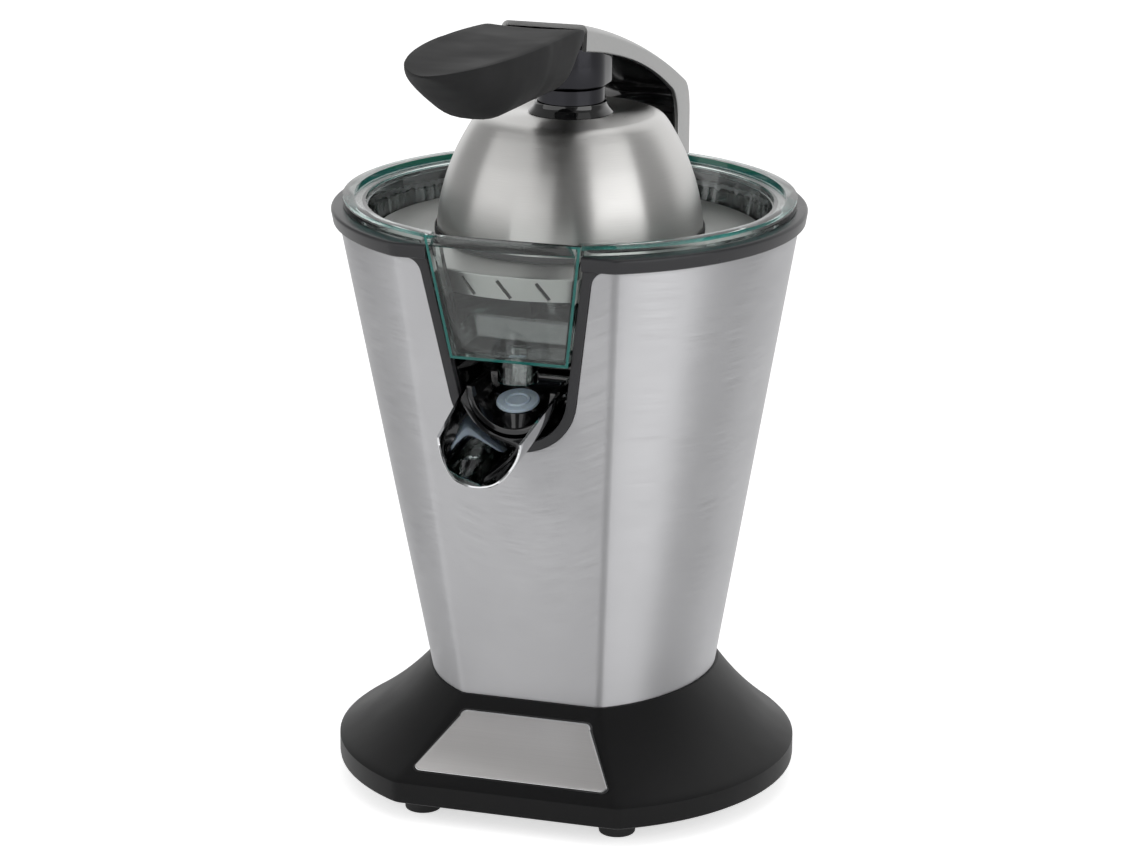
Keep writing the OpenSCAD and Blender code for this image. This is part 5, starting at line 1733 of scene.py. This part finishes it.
@dataclass
class Studio:
    """Camera, floor, backdrop light and soft boxes."""

    lens_mm: float = 126.06
    sensor_mm: float = 36.0
    distance: float = 1699.254
    eye_z: float = 656.878
    azimuth: float = 17.369
    look_turn: float = -0.022
    pitch: float = 16.291
    roll: float = 0.405
    floor_half: float = 6.0
    box_distance: float = 1.5
    box_rise: float = 15.0
    boxes: tuple[tuple[str, float, float, float, float], ...] = (
        ("soft_box_left", -40.0, 2.5, 1.15, 8.5),
        ("soft_box_right", 63.0, 1.3, 1.15, 8.5),
    )
    aim_z: float = 0.2
    top_size: float = 1.6
    top_height: float = 1.9
    top_power: float = 2.4
    room: float = 0.36
    gap: float = 0.12
    gap_azimuth: float = 17.0
    gap_edge: float = 17.0
    gap_full: float = 7.0
    backdrop_edge: float = 62.0
    backdrop_full: float = 30.0
    ambient: float = 0.55

    def camera(self) -> None:
        """Sets the camera."""
        turn = math.radians(self.azimuth + self.look_turn)
        down, lean = math.radians(self.pitch), math.radians(self.roll)
        around = math.radians(self.azimuth)
        across, along = self.distance * math.sin(around), self.distance * math.cos(around)
        eye = Vector((across, AXIS_Y - along, self.eye_z)) * MM
        ahead = Vector((-math.sin(turn) * math.cos(down), math.cos(turn) * math.cos(down), -math.sin(down)))
        right = ahead.cross(Vector((0, 0, 1))).normalized()
        up = right.cross(ahead)
        right, up = (
            math.cos(lean) * right + math.sin(lean) * up,
            math.cos(lean) * up - math.sin(lean) * right,
        )
        data = bpy.data.cameras.new("camera")
        data.lens, data.sensor_width = self.lens_mm, self.sensor_mm
        data.clip_start, data.clip_end = 0.05, 60.0
        camera = bpy.data.objects.new("camera", data)
        camera.matrix_world = Matrix.Translation(eye) @ Matrix((right, up, -ahead)).transposed().to_4x4()
        bpy.context.scene.collection.objects.link(camera)
        bpy.context.scene.camera = camera

    def floor(self) -> None:
        """Plain white floor."""
        h = self.floor_half / MM
        finish = WhiteSweep("matt_white_floor", "#F4F4F4")
        piece = new_piece("floor", [(-h, -h, 0), (h, -h, 0), (h, h, 0), (-h, h, 0)], [(0, 1, 2, 3)], finish)

    def lamp(self, name: str, place: Vector, width: float, tall: float, power: float) -> None:
        """Hangs one soft box.

        Args:
            name: Its name.
            place: Its middle, in metres.
            width: Its width in metres.
            tall: Its height in metres.
            power: Its power in watts.
        """
        data = bpy.data.lights.new(name, "AREA")
        data.shape, data.size, data.size_y, data.energy = "RECTANGLE", width, tall, power
        lamp = bpy.data.objects.new(name, data)
        lamp.location = place
        aim = Vector((0, 0, self.aim_z))
        lamp.rotation_euler = (aim - place).to_track_quat("-Z", "Y").to_euler()
        bpy.context.scene.collection.objects.link(lamp)

    def lamps(self) -> None:
        """A wide box on the left, a narrower one on the right and one overhead."""
        rise = math.radians(self.box_rise)
        for name, azimuth, width, tall, power in self.boxes:
            a = math.radians(azimuth)
            way = Vector((math.sin(a) * math.cos(rise), -math.cos(a) * math.cos(rise), math.sin(rise)))
            self.lamp(name, way * self.box_distance + Vector((0, 0, self.aim_z)), width, tall, power)
        size = self.top_size
        self.lamp("soft_box_top", Vector((0.1, 0.1, self.top_height)), size, size, self.top_power)

    def surround(self) -> None:
        """Even room with a dark gap between the front boxes and a white backdrop behind the press."""
        world = bpy.data.worlds.new("surround")
        world.use_nodes = True
        tree = world.node_tree
        tree.nodes.clear()
        node = partial(add, tree)
        vector, mix = "ShaderNodeVectorMath", "ShaderNodeMix"
        path = node("ShaderNodeLightPath").outputs
        way = node("ShaderNodeTexCoord").outputs["Generated"]
        level = node(vector, {0: way, 1: (1, 1, 0)}, operation="MULTIPLY")
        unit = node(vector, {0: level}, operation="NORMALIZE")

        def towards(azimuth: float, edge_deg: float, full_deg: float) -> Node:
            """How near a direction is to an azimuth, from 0 at one angle off it to 1 at a smaller one.

            Args:
                azimuth: The azimuth in degrees.
                edge_deg: Angle at which it is 0.
                full_deg: Angle at which it is 1.

            Returns:
                The node that gives it.
            """
            a = math.radians(azimuth)
            aim = (math.sin(a), -math.cos(a), 0)
            cosine = node(vector, {0: unit, 1: aim}, operation="DOT_PRODUCT").outputs["Value"]
            edge, full = (math.cos(math.radians(v)) for v in (edge_deg, full_deg))
            near = {0: cosine, 1: edge, 2: full}
            return node("ShaderNodeMapRange", near, interpolation_type="SMOOTHSTEP")

        ahead = towards(self.gap_azimuth, self.gap_edge, self.gap_full)
        front = node(mix, {0: ahead, 2: self.room, 3: self.gap})
        behind = towards(180, self.backdrop_edge, self.backdrop_full)
        mirrored = node(mix, {0: behind, 2: front, 3: 1.0})
        lit = node(mix, {0: path["Is Glossy Ray"], 2: self.ambient, 3: mirrored})
        either = {0: path["Is Camera Ray"], 1: path["Is Transmission Ray"]}
        clear = node("ShaderNodeMath", either, operation="MAXIMUM")
        strength = node(mix, {0: clear, 2: lit, 3: 1.0})
        air = node("ShaderNodeBackground", {"Color": linear("#FFFFFF"), "Strength": strength})
        node("ShaderNodeOutputWorld", {"Surface": air})
        bpy.context.scene.world = world

    def build(self) -> None:
        """Sets camera, floor and lights."""
        self.camera()
        self.floor()
        self.lamps()
        self.surround()
        bpy.context.scene.view_settings.view_transform = "Standard"


def main() -> None:
    """Builds every piece in order."""
    logging.basicConfig(level=logging.INFO, format="%(name)s %(message)s")
    parts = Studio(), Base(), Body(), Bowl(), Strainer(), PressDome(), Arm(), Grip(), Spout(), ReturnSpring()
    for part in parts:
        part.build()
    dress_frame()
    bpy.context.view_layer.update()


if __name__ == "__main__":
    main()
